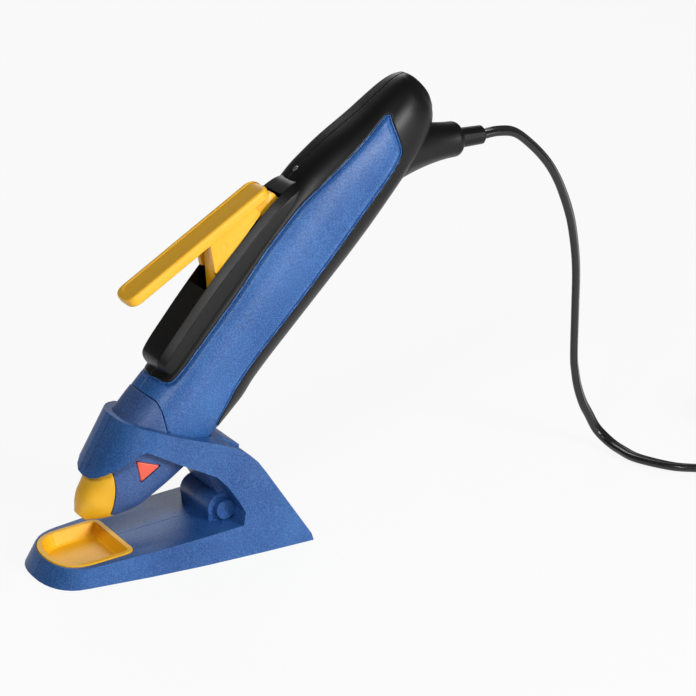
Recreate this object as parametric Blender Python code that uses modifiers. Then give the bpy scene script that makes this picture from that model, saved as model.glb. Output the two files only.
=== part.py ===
"""Hot glue pen with a finger lever, parked in its desk stand above a drip tray.

Lengths are metres. The stand is modelled with X running from its nose to its rear, and the pen in
a frame of its own, whose X runs along the glue stick from the tip to the rear and whose Z points
to the lever.
"""

import math

import bmesh
import bpy
from mathutils import Matrix, Vector

# Clearances and cutters
GAP = 0.0003
OVERRUN = 0.004

# Desk stand
STAND_LENGTH = 0.1102
STAND_HEIGHT = 0.0600
STAND_HALF_WIDTH = 0.0248
STAND_DRAFT = math.radians(3.4)
STAND_FRONT_ANGLE = math.radians(59.4)
STAND_WALL = 0.0024
NOSE_DEPTH = 0.0140
COLLAR_DEPTH = 0.0200
NOSE_POWER = 2.4
DECK_FRONT_HEIGHT = 0.0069
DECK_RISE_ANGLE = math.radians(4.33)
WEB_HALF_WIDTH = 0.0120
BOSS_CENTRE_SHARES = (0.690, 0.283)
BOSS_RADIUS = 0.0065
BOSS_POST_RADIUS = 0.0040
BOSS_POST_REACH = 0.0030

# Screws of the stand and of the pen
STAND_SCREW_SHARES = ((0.690, 0.283), (0.890, 0.150), (0.760, 0.520))
SCREW_HEAD_RADIUS = 0.0026
SCREW_HEAD_HEIGHT = 0.0018
SCREW_SHANK_RADIUS = 0.0013
SCREW_LENGTH = 0.0150
SCREW_TUBE_WALL = 0.0016

# Drip tray
TRAY_HALF_WIDTH = 0.0180
TRAY_FRONT = 0.0047
TRAY_REAR = 0.0358
TRAY_CORNER = 0.0040
TRAY_RIM_WIDTH = 0.0018
TRAY_RIM_HEIGHT = 0.0014
TRAY_LIP = 0.0004
TRAY_WALL = 0.0013
TRAY_DEPTH = 0.0062
TRAY_DRAFT = 0.0012

# Pen: outer form
PEN_TIP_X = 0.0202
PEN_TIP_HEIGHT = 0.0209
PEN_ANGLE = math.radians(44.8)
PEN_LENGTH = 0.2135
PEN_HALF_WIDTH = 0.0165
PEN_HALF_HEIGHT = 0.0195
PEN_WALL = 0.0030
GRIP_SKIN = 0.0012
PEN_POWER = 2.5
REAR_LEAN = math.tan(math.radians(11.0))
CAP_SEAM_STATION = 0.0150
CAP_SEAM_RADIUS = 0.0600
COVER_PROUD = 0.0003
COVER_SEAM_STATION = 0.0500
NECK_LENGTH = 0.0080
NECK_WALL = 0.0015

# Pen: lever hump and its slot
HUMP_START = 0.0628
HUMP_END = 0.1530
HUMP_HEIGHT = 0.0228
HUMP_HALF_WIDTH = 0.0100
HUMP_RIM_RISE = 0.0017
HUMP_BASE = 0.0060
SLOT_FRONT = 0.0970
SLOT_REAR = 0.1440
SLOT_POCKET_FRONT = 0.0850
SLOT_POCKET_HEIGHT = 0.0185
SLOT_FLOOR = 0.0060

# Pen: cord snout and strain relief, level with the desk
SNOUT_HEIGHT = 0.1477
SNOUT_ROOT_X = 0.1500
SNOUT_END_X = 0.1900
SNOUT_ROOT_RADIUS = 0.0165
SNOUT_END_RADIUS = 0.0072
SNOUT_ROUND_SHARE = 0.26
RELIEF_LENGTH = 0.0240
RELIEF_OUT = 0.0117
RELIEF_RADIUS = 0.0043
RELIEF_TIP_RADIUS = 0.0038
RELIEF_FLANGE_RADIUS = 0.0055
RELIEF_FLANGE_WIDTH = 0.0030
CORD_WAY_RADIUS = 0.0050
CORD_WAY_MOUTH_RADIUS = 0.0075
CORD_WAY_START_X = 0.1580

# Glue path
STICK_RADIUS = 0.0035
CHANNEL_RADIUS = 0.0038
NOZZLE_TIP_STATION = 0.0014
NOZZLE_RADIUS = 0.0028
NOZZLE_TIP_RADIUS = 0.0013
NOZZLE_BORE_RADIUS = 0.0007
NOZZLE_SHOULDER_RADIUS = 0.0050
CHAMBER_START = 0.0240
CHAMBER_LENGTH = 0.0420
CHAMBER_RADIUS = 0.0066
CHAMBER_FLAT = 0.0044
SLEEVE_LENGTH = 0.0100
SLEEVE_RADIUS = 0.0049
HEATER_LENGTH = 0.0240
HEATER_WIDTH = 0.0090
HEATER_HEIGHT = 0.0018
HEATER_CENTRE_SHARE = 0.69
CLAMP_CENTRE_SHARE = 0.79
CLAMP_SHEET = 0.0008
CLAMP_LENGTH = 0.0080
GUIDE_START = 0.1140
GUIDE_RADIUS = 0.0047
ENTRY_LENGTH = 0.0170
ENTRY_RADIUS = 0.0062
ENTRY_SOCKET_DEPTH = 0.0060
RIB_THICKNESS = 0.0016
RIB_HALF_HEIGHT = 0.0090

# Feed linkage
LEVER_PIVOT = (0.1380, 0.0185)
LEVER_HALF_WIDTH = 0.0070
LEVER_BAR_THICKNESS = 0.0044
LEVER_FRONT = 0.0746
LEVER_REAR = 0.1428
LEVER_TOP_FRONT = 0.0463
LEVER_TOP_REAR = 0.0298
LEVER_CHEEK = 0.0024
LEVER_EDGE = 0.0010
LEVER_PANEL_DEPTH = 0.0004
LEVER_PANEL_MARGIN = 0.0016
LINK_PIN = (0.1142, 0.0286)
CARRIAGE_PIN = (0.1000, 0.0112)
PIN_RADIUS = 0.0015
LINK_CLEARANCE = 0.0010
LINK_EYE_WALL = 0.0016
LINK_HALF_WIDTH = 0.0040
LINK_THICKNESS = 0.0036
CARRIAGE_FRONT = 0.0940
CARRIAGE_LENGTH = 0.0180
CARRIAGE_HALF_WIDTH = 0.0066
CARRIAGE_HALF_HEIGHT = 0.0060
CARRIAGE_EAR_RADIUS = 0.0028
GRIPPER_LENGTH = 0.0060
GRIPPER_RADIUS = 0.0050
SPRING_WIRE_RADIUS = 0.00045
SPRING_RADIUS = 0.0052
SPRING_TURNS = 5

# Trim and wiring
LENS_STATION = 0.1562
LENS_RADIUS = 0.0014
LENS_HEIGHT = 0.0040
LENS_PROUD = 0.0005
INLAY_DEPTH = 0.0010
WIRE_RADIUS = 0.0008
WIRE_SPREAD = 0.0030
CLAMP_BAR_LENGTH = 0.0050
CLAMP_BAR_HALF_WIDTH = 0.0046
CLAMP_BAR_HEIGHT = 0.0030

# Mains cord, its coil and its plug
CORD_RADIUS = 0.0026
CORD_ROUTE = (
    (0.2090, 0.0, 0.1481),
    (0.2175, 0.0, 0.1464),
    (0.2265, 0.0, 0.1394),
    (0.2338, 0.0, 0.1316),
    (0.2387, 0.0, 0.1241),
    (0.2422, 0.0, 0.1167),
    (0.2450, 0.0, 0.1094),
    (0.2470, 0.0, 0.1022),
    (0.2489, 0.0, 0.0914),
    (0.2498, 0.0, 0.0808),
    (0.2499, 0.0, 0.0666),
    (0.2500, 0.0, 0.0451),
    (0.2508, 0.0, 0.0377),
    (0.2524, 0.0, 0.0302),
    (0.2553, 0.0, 0.0223),
    (0.2590, 0.0004, 0.0160),
    (0.2625, 0.0000, 0.0095),
    (0.2650, -0.0020, 0.0058),
    (0.2664, -0.0068, 0.0034),
    (0.2666, -0.0137, 0.0028),
    (0.2673, -0.0244, 0.0027),
    (0.2743, -0.0386, 0.0027),
    (0.2821, -0.0456, 0.0027),
    (0.2915, -0.0517, 0.0027),
    (0.3035, -0.0562, 0.0027),
    (0.3180, -0.0577, 0.0027),
    (0.3330, -0.0562, 0.0027),
)
CORD_STEP = 0.0120
COIL_CENTRE = (0.3530, -0.0200)
COIL_OUTER_RADIUS = 0.0330
COIL_TURNS_PER_LAYER = 3.55
COIL_PITCH = 0.0058
COIL_LAYERS = 2
COIL_POINTS_PER_TURN = 20
COIL_START_ANGLE = math.radians(-90.0)
COIL_TAIL = 0.0260
PLUG_LENGTH = 0.0360
PLUG_HALF_WIDTH = 0.0176
PLUG_NECK_HALF_WIDTH = 0.0060
PLUG_HALF_HEIGHT = 0.0065
PLUG_PIN_RADIUS = 0.0020
PLUG_PIN_LENGTH = 0.0190
PLUG_PIN_SPREAD = 0.0093
PLUG_PIN_ROOT = 0.0050

# Outlines, as shares of the sizes that they follow
STAND_WIDTH_SHARES = ((0.0, 0.820), (0.155, 0.853), (0.410, 0.971), (0.700, 1.000), (1.05, 0.962))
STAND_TOP_SHARES = (
    (0.300, 1.000), (0.413, 0.950), (0.495, 0.890), (0.570, 0.842), (0.631, 0.805), (0.699, 0.753),
    (0.753, 0.688), (0.785, 0.630), (0.812, 0.560), (0.992, 0.050), (1.000, 0.000),
)
WINDOW_SHARES = (
    (0.721, 0.223), (0.729, 0.300), (0.708, 0.375), (0.685, 0.442), (0.662, 0.505), (0.622, 0.583),
    (0.495, 0.705), (0.399, 0.803), (0.370, 0.827), (0.345, 0.815), (0.176, 0.592),
)
WEB_SHARES = (
    (0.635, 0.110), (0.635, 0.207), (0.632, 0.283), (0.644, 0.333), (0.675, 0.380), (0.658, 0.433),
    (0.642, 0.493), (0.600, 0.640), (0.640, 0.780), (0.700, 0.760), (0.760, 0.700), (0.760, 0.110),
)
COLUMN_HOLLOW_SHARES = (
    (0.750, 0.330), (0.734, 0.400), (0.716, 0.470), (0.716, 0.640), (0.756, 0.590), (0.788, 0.525),
)
BODY_SHARES = (
    (0.0019, 0.128, -0.149, 0.164),
    (0.0057, 0.154, -0.185, 0.206),
    (0.0178, 0.251, -0.328, 0.339),
    (0.0337, 0.328, -0.472, 0.479),
    (0.0571, 0.390, -0.626, 0.594),
    (0.081, 0.482, -0.754, 0.727),
    (0.122, 0.590, -0.856, 0.848),
    (0.164, 0.703, -0.944, 0.939),
    (0.220, 0.744, -1.026, 0.988),
    (0.272, 0.749, -1.041, 1.000),
    (0.347, 0.815, -1.056, 1.000),
    (0.393, 0.856, -0.995, 1.000),
    (0.459, 0.903, -0.974, 1.000),
    (0.660, 1.036, -0.974, 0.982),
    (0.726, 1.075, -0.959, 0.970),
    (0.787, 1.005, -0.913, 0.964),
    (0.890, 0.765, -0.800, 0.910),
    (0.936, 0.672, -0.715, 0.835),
    (0.962, 0.615, -0.650, 0.735),
    (0.978, 0.560, -0.580, 0.610),
    (0.990, 0.485, -0.495, 0.455),
)
HUMP_SHARES = (
    (0.000, 0.640, 0.82), (0.010, 0.800, 0.92), (0.030, 0.870, 0.97), (0.110, 0.915, 0.99),
    (0.230, 0.960, 1.00), (0.400, 0.998, 1.00), (0.880, 1.000, 1.00),
)
HUMP_RIM_SHARES = ((0.900, 0.9, 0.99), (0.935, 1.0, 0.97), (0.960, 0.6, 0.93), (1.000, -1.9, 0.80))
PANEL_TOP_SHARES = (
    (0.276, 0.700), (0.283, 0.620), (0.304, 0.605), (0.384, 0.651), (0.489, 0.718), (0.590, 0.805),
    (0.674, 0.826), (0.735, 0.764), (0.797, 0.667), (0.857, 0.585), (0.892, 0.523),
)
PANEL_REAR_SHARES = ((0.905, 0.360), (0.893, 0.138), (0.881, -0.082), (0.862, -0.205), (0.838, -0.272))
PANEL_LOWER_SHARES = (
    (0.789, -0.374), (0.707, -0.395), (0.545, -0.462), (0.434, -0.472), (0.356, -0.533), (0.332, -0.610),
    (0.308, -0.682), (0.284, -0.800),
)
INLAY_SHARES = ((0.140, 0.205), (0.1606, -0.240), (0.1166, -0.190))
COVER_SEAM_SHARES = ((1.010, 1.2), (1.012, 0.88), (1.045, 0.63), (1.020, 0.49), (0.970, 0.31), (0.916, 0.11),
                     (0.905, -0.10), (0.905, -1.3))
PEN_SCREW_SHARES = ((0.350, -0.64), (0.500, -0.64), (0.640, -0.64), (0.770, -0.62))
PEN_SCREW_SEAT_SHARE = 0.67
RIB_SHARES = (0.240, 0.300, 0.575, 0.740)


def new_collection(name):
    group = bpy.data.collections.new(name)
    bpy.context.scene.collection.children.link(group)
    return group


def new_material(name, colour, roughness, metallic=0.0):
    """Principled material of one colour."""
    finish = bpy.data.materials.new(name)
    finish.use_nodes = True
    shader = finish.node_tree.nodes["Principled BSDF"]
    shader.inputs["Base Color"].default_value = (*colour, 1.0)
    shader.inputs["Roughness"].default_value = roughness
    shader.inputs["Metallic"].default_value = metallic
    finish.diffuse_color = (*colour, 1.0)
    return finish


def new_frame(name, location, tilt, parent=None):
    """Empty that carries pieces; tilt turns its X axis upwards about Y."""
    frame = bpy.data.objects.new(name, None)
    bpy.context.scene.collection.objects.link(frame)
    frame.parent = parent
    frame.location = location
    frame.rotation_euler = (0.0, -tilt, 0.0)
    return frame


class Workshop:
    """Collections, finishes and frames that every piece uses."""

    def __init__(self):
        self.parts = new_collection("hot_glue_applicator")
        self.cutters = new_collection("cutters")
        self.blue = new_material("blue_plastic", (0.02, 0.11, 0.42), 0.5)
        self.yellow = new_material("yellow_plastic", (0.90, 0.48, 0.02), 0.45)
        self.black = new_material("black_rubber", (0.012, 0.012, 0.013), 0.6)
        self.coral = new_material("coral_plastic", (0.85, 0.12, 0.07), 0.5)
        self.silicone = new_material("clear_silicone", (0.55, 0.50, 0.42), 0.6)
        self.brass = new_material("brass", (0.62, 0.43, 0.16), 0.3, 1.0)
        self.aluminium = new_material("aluminium", (0.62, 0.63, 0.64), 0.35, 1.0)
        self.steel = new_material("steel", (0.50, 0.50, 0.51), 0.3, 1.0)
        self.ceramic = new_material("ceramic", (0.80, 0.78, 0.72), 0.7)
        self.cord = new_material("cord_jacket", (0.01, 0.01, 0.011), 0.3)
        centre_x = SNOUT_END_X / 2.0
        self.desk = new_frame("desk_frame", (-centre_x, 0.0, 0.0), 0.0)
        self.deck = new_frame("deck_frame", (0.0, 0.0, DECK_FRONT_HEIGHT), DECK_RISE_ANGLE, self.desk)
        self.pen = new_frame("pen_frame", (PEN_TIP_X, 0.0, PEN_TIP_HEIGHT), PEN_ANGLE, self.desk)
        self.lever = new_frame("lever_frame", (LEVER_PIVOT[0], 0.0, LEVER_PIVOT[1]), 0.0, self.pen)
        self.link = new_frame("link_frame", (LINK_PIN[0], 0.0, LINK_PIN[1]), 0.0, self.pen)
        self.carriage = new_frame("carriage_frame", (CARRIAGE_PIN[0], 0.0, 0.0), 0.0, self.pen)
        bpy.context.view_layer.update()


def place(mesh, name, parent, shop, finish=None):
    """Object for a mesh: a part where a finish is given, otherwise a hidden cutter."""
    piece = bpy.data.objects.new(name, mesh)
    piece.parent = parent
    if finish is None:
        shop.cutters.objects.link(piece)
        piece.hide_render = True
        piece.display_type = "WIRE"
    else:
        shop.parts.objects.link(piece)
        mesh.materials.clear()
        mesh.materials.append(finish)
    return piece


def mesh_from(bm, name):
    bmesh.ops.recalc_face_normals(bm, faces=bm.faces)
    mesh = bpy.data.meshes.new(name)
    bm.to_mesh(mesh)
    bm.free()
    return mesh


def box_mesh(name, low, high):
    bm = bmesh.new()
    size = Vector(high) - Vector(low)
    middle = (Vector(high) + Vector(low)) / 2.0
    bmesh.ops.create_cube(bm, size=1.0, matrix=Matrix.Translation(middle) @ Matrix.Diagonal(size).to_4x4())
    return mesh_from(bm, name)


def rod_mesh(name, x, z, y_low, y_high, radius, sides=16):
    """Round bar along Y."""
    bm = bmesh.new()
    turn = Matrix.Rotation(math.radians(90.0), 4, "X")
    middle = Matrix.Translation((x, (y_low + y_high) / 2.0, z))
    bmesh.ops.create_cone(bm, cap_ends=True, segments=sides, radius1=radius, radius2=radius,
                          depth=y_high - y_low, matrix=middle @ turn)
    return mesh_from(bm, name)


def loft_mesh(name, rings):
    """Quads between rings of equal length, closed by a face at each end."""
    bm = bmesh.new()
    loops = [[bm.verts.new(point) for point in ring] for ring in rings]
    for near, far in zip(loops, loops[1:]):
        for index in range(len(near)):
            after = (index + 1) % len(near)
            bm.faces.new((near[index], near[after], far[after], far[index]))
    bm.faces.new(list(reversed(loops[0])))
    bm.faces.new(loops[-1])
    return mesh_from(bm, name)


def mesh_from_curve(curve, name, parent, shop, finish=None, location=(0.0, 0.0, 0.0), turn_x=0.0):
    """Mesh object with welded caps that stands where the curve stood."""
    guide = bpy.data.objects.new(name + "_curve", curve)
    shop.cutters.objects.link(guide)
    guide.parent = parent
    guide.location = location
    guide.rotation_euler = (turn_x, 0.0, 0.0)
    graph = bpy.context.evaluated_depsgraph_get()
    mesh = bpy.data.meshes.new_from_object(guide.evaluated_get(graph))
    mesh.name = name
    bm = bmesh.new()
    bm.from_mesh(mesh)
    bmesh.ops.remove_doubles(bm, verts=bm.verts, dist=GAP / 100.0)
    bmesh.ops.recalc_face_normals(bm, faces=bm.faces)
    bm.to_mesh(mesh)
    bm.free()
    piece = place(mesh, name, parent, shop, finish)
    piece.matrix_world = guide.matrix_world
    bpy.data.objects.remove(guide)
    return piece


def prism(name, outline, y_low, y_high, parent, shop, finish=None):
    """Flat XZ outline with its thickness along Y."""
    curve = bpy.data.curves.new(name, "CURVE")
    curve.dimensions = "2D"
    curve.fill_mode = "BOTH"
    curve.extrude = (y_high - y_low) / 2.0
    spline = curve.splines.new("POLY")
    spline.points.add(len(outline) - 1)
    for point, (x, z) in zip(spline.points, outline):
        point.co = (x, z, 0.0, 1.0)
    spline.use_cyclic_u = True
    middle = (0.0, (y_low + y_high) / 2.0, 0.0)
    return mesh_from_curve(curve, name, parent, shop, finish, middle, math.radians(90.0))


def tube(name, points, radius, resolution, parent, shop, finish, closed_ends=True):
    """Round tube along a list of points."""
    curve = bpy.data.curves.new(name, "CURVE")
    curve.dimensions = "3D"
    curve.bevel_depth = radius
    curve.bevel_resolution = resolution
    curve.use_fill_caps = closed_ends
    curve.render_resolution_u = 0
    spline = curve.splines.new("POLY")
    spline.points.add(len(points) - 1)
    for point, place_at in zip(spline.points, points):
        point.co = (*place_at, 1.0)
    piece = mesh_from_curve(curve, name, parent, shop, finish)
    soften(piece)
    return piece


def turned(name, profile, parent, shop, finish=None, location=(0.0, 0.0, 0.0), closed=False, steps=24,
           along="X"):
    """Solid of revolution; profile lists (station, radius) from the far end down the outer side."""
    mesh = bpy.data.meshes.new(name)
    count = len(profile)
    edges = [(index, index + 1) for index in range(count - 1)]
    if closed:
        edges.append((count - 1, 0))
    mesh.from_pydata([(radius, 0.0, station) for station, radius in profile], edges, [])
    piece = place(mesh, name, parent, shop, finish)
    piece.location = location
    if along == "X":
        piece.rotation_euler = (0.0, math.radians(90.0), 0.0)
    if along == "Y":
        piece.rotation_euler = (math.radians(-90.0), 0.0, 0.0)
    screw = piece.modifiers.new("turn", "SCREW")
    screw.steps = steps
    screw.render_steps = steps
    screw.use_merge_vertices = True
    screw.merge_threshold = GAP / 100.0
    bake(piece)
    return piece


def combine(piece, tool, operation, solver="EXACT"):
    """Boolean with another object, kept as a modifier until the piece is baked."""
    modifier = piece.modifiers.new(tool.name, "BOOLEAN")
    modifier.operation = operation
    modifier.solver = solver
    modifier.object = tool


def bake(piece):
    """Replace the piece's mesh by its evaluated one."""
    graph = bpy.context.evaluated_depsgraph_get()
    mesh = bpy.data.meshes.new_from_object(piece.evaluated_get(graph))
    piece.modifiers.clear()
    piece.data = mesh
    mesh.name = piece.name


def shape(piece, *steps, solver="EXACT"):
    """Apply (operation, tool) pairs in order and bake the result."""
    for operation, tool in steps:
        combine(piece, tool, operation, solver)
    bake(piece)
    soften(piece)
    return piece


def soften(piece, angle=math.radians(32.0)):
    """Smooth shading with the real edges kept sharp."""
    piece.data.shade_smooth()
    piece.data.set_sharp_from_angle(angle=angle)


def bevel(piece, width, segments=2, angle=math.radians(35.0)):
    modifier = piece.modifiers.new("edge", "BEVEL")
    modifier.width = width
    modifier.segments = segments
    modifier.limit_method = "ANGLE"
    modifier.angle_limit = angle
    bake(piece)
    soften(piece)
    return piece


def lerp(table, share):
    """Value of a (share, value) table between its rows."""
    for (low, value_low), (high, value_high) in zip(table, table[1:]):
        if share <= high:
            part = max(0.0, (share - low) / (high - low))
            return value_low + (value_high - value_low) * part
    return table[-1][1]


def scaled(shares, length, height):
    return [(x * length, z * height) for x, z in shares]


def half_box(name, side, length, parent, shop):
    """Everything on one side of the middle plane, less half the parting gap."""
    near = GAP / 2.0
    low, high = (near, length) if side > 0 else (-length, -near)
    return place(box_mesh(name, (-length, low, -length), (2.0 * length, high, 2.0 * length)), name, parent, shop)


def nose_outline(front, depth, rear, half_width, corner, points=9):
    """Half of a D outline from the nose to the middle of its rear edge, as (x, y) pairs."""
    outline = []
    for index in range(points):
        angle = math.radians(90.0) * index / (points - 1)
        along = 1.0 - math.cos(angle) ** (2.0 / NOSE_POWER)
        across = math.sin(angle) ** (2.0 / NOSE_POWER)
        outline.append((front + depth * along, half_width * across))
    for index in range(5):
        angle = math.radians(90.0) * index / 4
        outline.append((rear - corner + corner * math.sin(angle), half_width - corner + corner * math.cos(angle)))
    return outline


def mirrored(half, height):
    """Closed ring at one height from a half outline that starts on the middle plane."""
    ring = [(x, y, height) for x, y in half]
    ring += [(x, -y, height) for x, y in reversed(half[1:])]
    return ring


# Stand


def stand_half_width(x, height):
    width = STAND_HALF_WIDTH * lerp(STAND_WIDTH_SHARES, x / STAND_LENGTH)
    return width - height * math.tan(STAND_DRAFT)


def stand_ring(height, inset):
    """Plan outline of the stand at a height, pulled in by a wall."""
    share = height / STAND_HEIGHT
    depth = NOSE_DEPTH + (COLLAR_DEPTH - NOSE_DEPTH) * share
    front = height / math.tan(STAND_FRONT_ANGLE) + inset
    half = []
    nose_points = 9
    for index in range(nose_points):
        angle = math.radians(90.0) * index / (nose_points - 1)
        x = front + depth * (1.0 - math.cos(angle) ** (2.0 / NOSE_POWER))
        across = math.sin(angle) ** (2.0 / NOSE_POWER)
        half.append((x, (stand_half_width(x, height) - inset) * across))
    start = half[-1][0]
    rear = STAND_LENGTH + OVERRUN - inset
    side_points = 4
    for index in range(1, side_points + 1):
        x = start + (rear - start) * index / side_points
        half.append((x, stand_half_width(x, height) - inset))
    return mirrored(half, height)


def stand_loft(name, inset, shop):
    levels = 3
    heights = [-OVERRUN + (STAND_HEIGHT + 2.0 * OVERRUN) * index / levels for index in range(levels + 1)]
    mesh = loft_mesh(name, [stand_ring(height, inset) for height in heights])
    return place(mesh, name, shop.desk, shop)


def deck_height(x):
    return DECK_FRONT_HEIGHT + x * math.tan(DECK_RISE_ANGLE)


def stand_silhouette(shop):
    top = scaled(STAND_TOP_SHARES, STAND_LENGTH, STAND_HEIGHT)
    outline = [(-OVERRUN, 0.0), (-OVERRUN, STAND_HEIGHT), *top]
    return prism("stand_outline", outline, -STAND_LENGTH, STAND_LENGTH, shop.desk, shop)


def stand_window(shop):
    """Opening from the nose to the rear leg, above the deck."""
    outline = scaled(WINDOW_SHARES, STAND_LENGTH, STAND_HEIGHT)
    rear_x = outline[0][0]
    front = [(-OVERRUN, outline[-1][1]), (-OVERRUN, deck_height(-OVERRUN)), (rear_x, deck_height(rear_x))]
    return prism("window_cutter", outline + front, -STAND_LENGTH, STAND_LENGTH, shop.desk, shop)


def stand_web(shop):
    """Wall between the sides that closes the leg, swollen round the tie boss."""
    outline = scaled(WEB_SHARES, STAND_LENGTH, STAND_HEIGHT)
    return prism("web_form", outline, -WEB_HALF_WIDTH, WEB_HALF_WIDTH, shop.desk, shop)


def boss_place():
    return BOSS_CENTRE_SHARES[0] * STAND_LENGTH, BOSS_CENTRE_SHARES[1] * STAND_HEIGHT


def stand_hollow_base(shop):
    """Space under the deck, open at the bottom."""
    rear_x = COLUMN_HOLLOW_SHARES[0][0] * STAND_LENGTH
    slope_x = STAND_LENGTH - 3.0 * STAND_WALL
    outline = [
        (0.0, -OVERRUN), (0.0, deck_height(0.0) - STAND_WALL),
        (rear_x, deck_height(rear_x) - STAND_WALL), (slope_x, deck_height(rear_x) - STAND_WALL),
        (STAND_LENGTH - STAND_WALL, -OVERRUN),
    ]
    return prism("base_hollow", outline, -STAND_LENGTH, STAND_LENGTH, shop.desk, shop)


def stand_hollow_column(shop):
    """Space inside the rear leg, open into the base."""
    upper = scaled(COLUMN_HOLLOW_SHARES, STAND_LENGTH, STAND_HEIGHT)
    front_x = upper[0][0]
    rear_x = STAND_LENGTH - STAND_WALL / math.sin(math.radians(60.0))
    outline = [(front_x, -OVERRUN), *upper, (rear_x, -OVERRUN)]
    return prism("column_hollow", outline, -STAND_LENGTH, STAND_LENGTH, shop.desk, shop)


def build_stand(shop):
    """Both halves of the stand, parted on the middle plane."""
    outer = stand_loft("stand_form", 0.0, shop)
    inner = stand_loft("stand_inside", STAND_WALL, shop)
    hollow_base = stand_hollow_base(shop)
    hollow_column = stand_hollow_column(shop)
    shape(hollow_base, ("UNION", hollow_column), ("INTERSECT", inner))
    boss_x, boss_z = boss_place()
    post_reach = WEB_HALF_WIDTH + BOSS_POST_REACH
    boss_reach = WEB_HALF_WIDTH + GAP
    boss = place(rod_mesh("boss_form", boss_x, boss_z, -boss_reach, boss_reach, BOSS_RADIUS, sides=24),
                 "boss_form", shop.desk, shop)
    post = place(rod_mesh("post_form", boss_x, boss_z, -post_reach, post_reach, BOSS_POST_RADIUS, sides=20),
                 "post_form", shop.desk, shop)
    shape(outer, ("INTERSECT", stand_silhouette(shop)), ("DIFFERENCE", stand_window(shop)),
          ("UNION", stand_web(shop)), ("DIFFERENCE", hollow_base), ("UNION", boss), ("UNION", post))
    tubes = stand_screw_tubes(shop)
    holes = stand_screw_holes(shop)
    for screw_tube in tubes:
        combine(outer, screw_tube, "UNION")
    passage = pen_passage(shop)
    well = tray_well(shop)
    combine(outer, passage, "DIFFERENCE")
    combine(outer, well, "DIFFERENCE")
    for hole in holes:
        combine(outer, hole, "DIFFERENCE")
    bake(outer)
    for name, side in (("stand_left", -1.0), ("stand_right", 1.0)):
        half = place(outer.data.copy(), name, shop.desk, shop, shop.blue)
        shape(half, ("INTERSECT", half_box(name + "_side", side, STAND_LENGTH, shop.desk, shop)))


def stand_screw_places():
    return [(x * STAND_LENGTH, z * STAND_HEIGHT) for x, z in STAND_SCREW_SHARES]


def stand_screw_head(x, z):
    """Depth in Y at which a screw head sits, sunk below the side wall."""
    return stand_half_width(x, z) - STAND_WALL - SCREW_HEAD_HEIGHT


def stand_screw_tubes(shop):
    """Tubes across the hollow leg that take the screws."""
    tubes = []
    radius = SCREW_HEAD_RADIUS + GAP + SCREW_TUBE_WALL
    for number, (x, z) in enumerate(stand_screw_places(), 1):
        reach = stand_half_width(x, z) - STAND_WALL / 2.0
        if number == 1:
            reach = WEB_HALF_WIDTH - STAND_WALL / 2.0
        name = f"stand_tube_{number}"
        tubes.append(place(rod_mesh(name, x, z, -reach, reach, radius), name, shop.desk, shop))
    return tubes


def screw_profile():
    """Pan head screw from its head down to its point, as (station, radius)."""
    head = SCREW_HEAD_HEIGHT
    tip = -SCREW_LENGTH
    return [
        (head, 0.0), (head, 0.6 * SCREW_HEAD_RADIUS), (0.6 * head, SCREW_HEAD_RADIUS), (0.0, SCREW_HEAD_RADIUS),
        (0.0, SCREW_SHANK_RADIUS), (tip + SCREW_SHANK_RADIUS, SCREW_SHANK_RADIUS), (tip, 0.0),
    ]


def screw_hole(name, x, z, seat_y, shop, parent):
    """Cutter for one screw: recess for the head and hole for the shank."""
    head_radius = SCREW_HEAD_RADIUS + GAP
    shank_radius = SCREW_SHANK_RADIUS + GAP
    tip = -SCREW_LENGTH - GAP
    profile = [(STAND_HALF_WIDTH, 0.0), (STAND_HALF_WIDTH, head_radius), (-GAP, head_radius), (-GAP, shank_radius),
               (tip, shank_radius), (tip, 0.0)]
    return turned(name, profile, parent, shop, location=(x, seat_y, z), steps=12, along="Y")


def stand_screw_seats():
    seats = []
    for number, (x, z) in enumerate(stand_screw_places(), 1):
        seat_y = stand_screw_head(x, z)
        if number == 1:
            seat_y = WEB_HALF_WIDTH + BOSS_POST_REACH - SCREW_HEAD_HEIGHT - GAP
        seats.append((number, x, z, seat_y))
    return seats


def stand_screw_holes(shop):
    return [screw_hole(f"stand_hole_{number}", x, z, seat_y, shop, shop.desk)
            for number, x, z, seat_y in stand_screw_seats()]


def build_stand_screws(shop):
    for number, x, z, seat_y in stand_screw_seats():
        screw = turned(f"stand_screw_{number}", screw_profile(), shop.desk, shop, shop.steel,
                       location=(x, seat_y, z), steps=12, along="Y")
        soften(screw)


# Drip tray


def tray_ring(height, inset):
    """D outline of the tray at a height above the deck plane."""
    half = nose_outline(TRAY_FRONT + inset, NOSE_DEPTH - inset, TRAY_REAR - inset, TRAY_HALF_WIDTH - inset,
                        max(TRAY_CORNER - inset, TRAY_WALL))
    return mirrored(half, height)


def tray_well(shop):
    """Hole in the deck with a ledge for the rim."""
    ledge = -TRAY_RIM_HEIGHT + TRAY_LIP - GAP
    hole_inset = TRAY_RIM_WIDTH - GAP
    rings = [tray_ring(-DECK_FRONT_HEIGHT - OVERRUN, hole_inset), tray_ring(ledge, hole_inset),
             tray_ring(ledge, -GAP), tray_ring(TRAY_RIM_HEIGHT + OVERRUN, -GAP)]
    return place(loft_mesh("tray_well", rings), "tray_well", shop.deck, shop)


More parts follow.
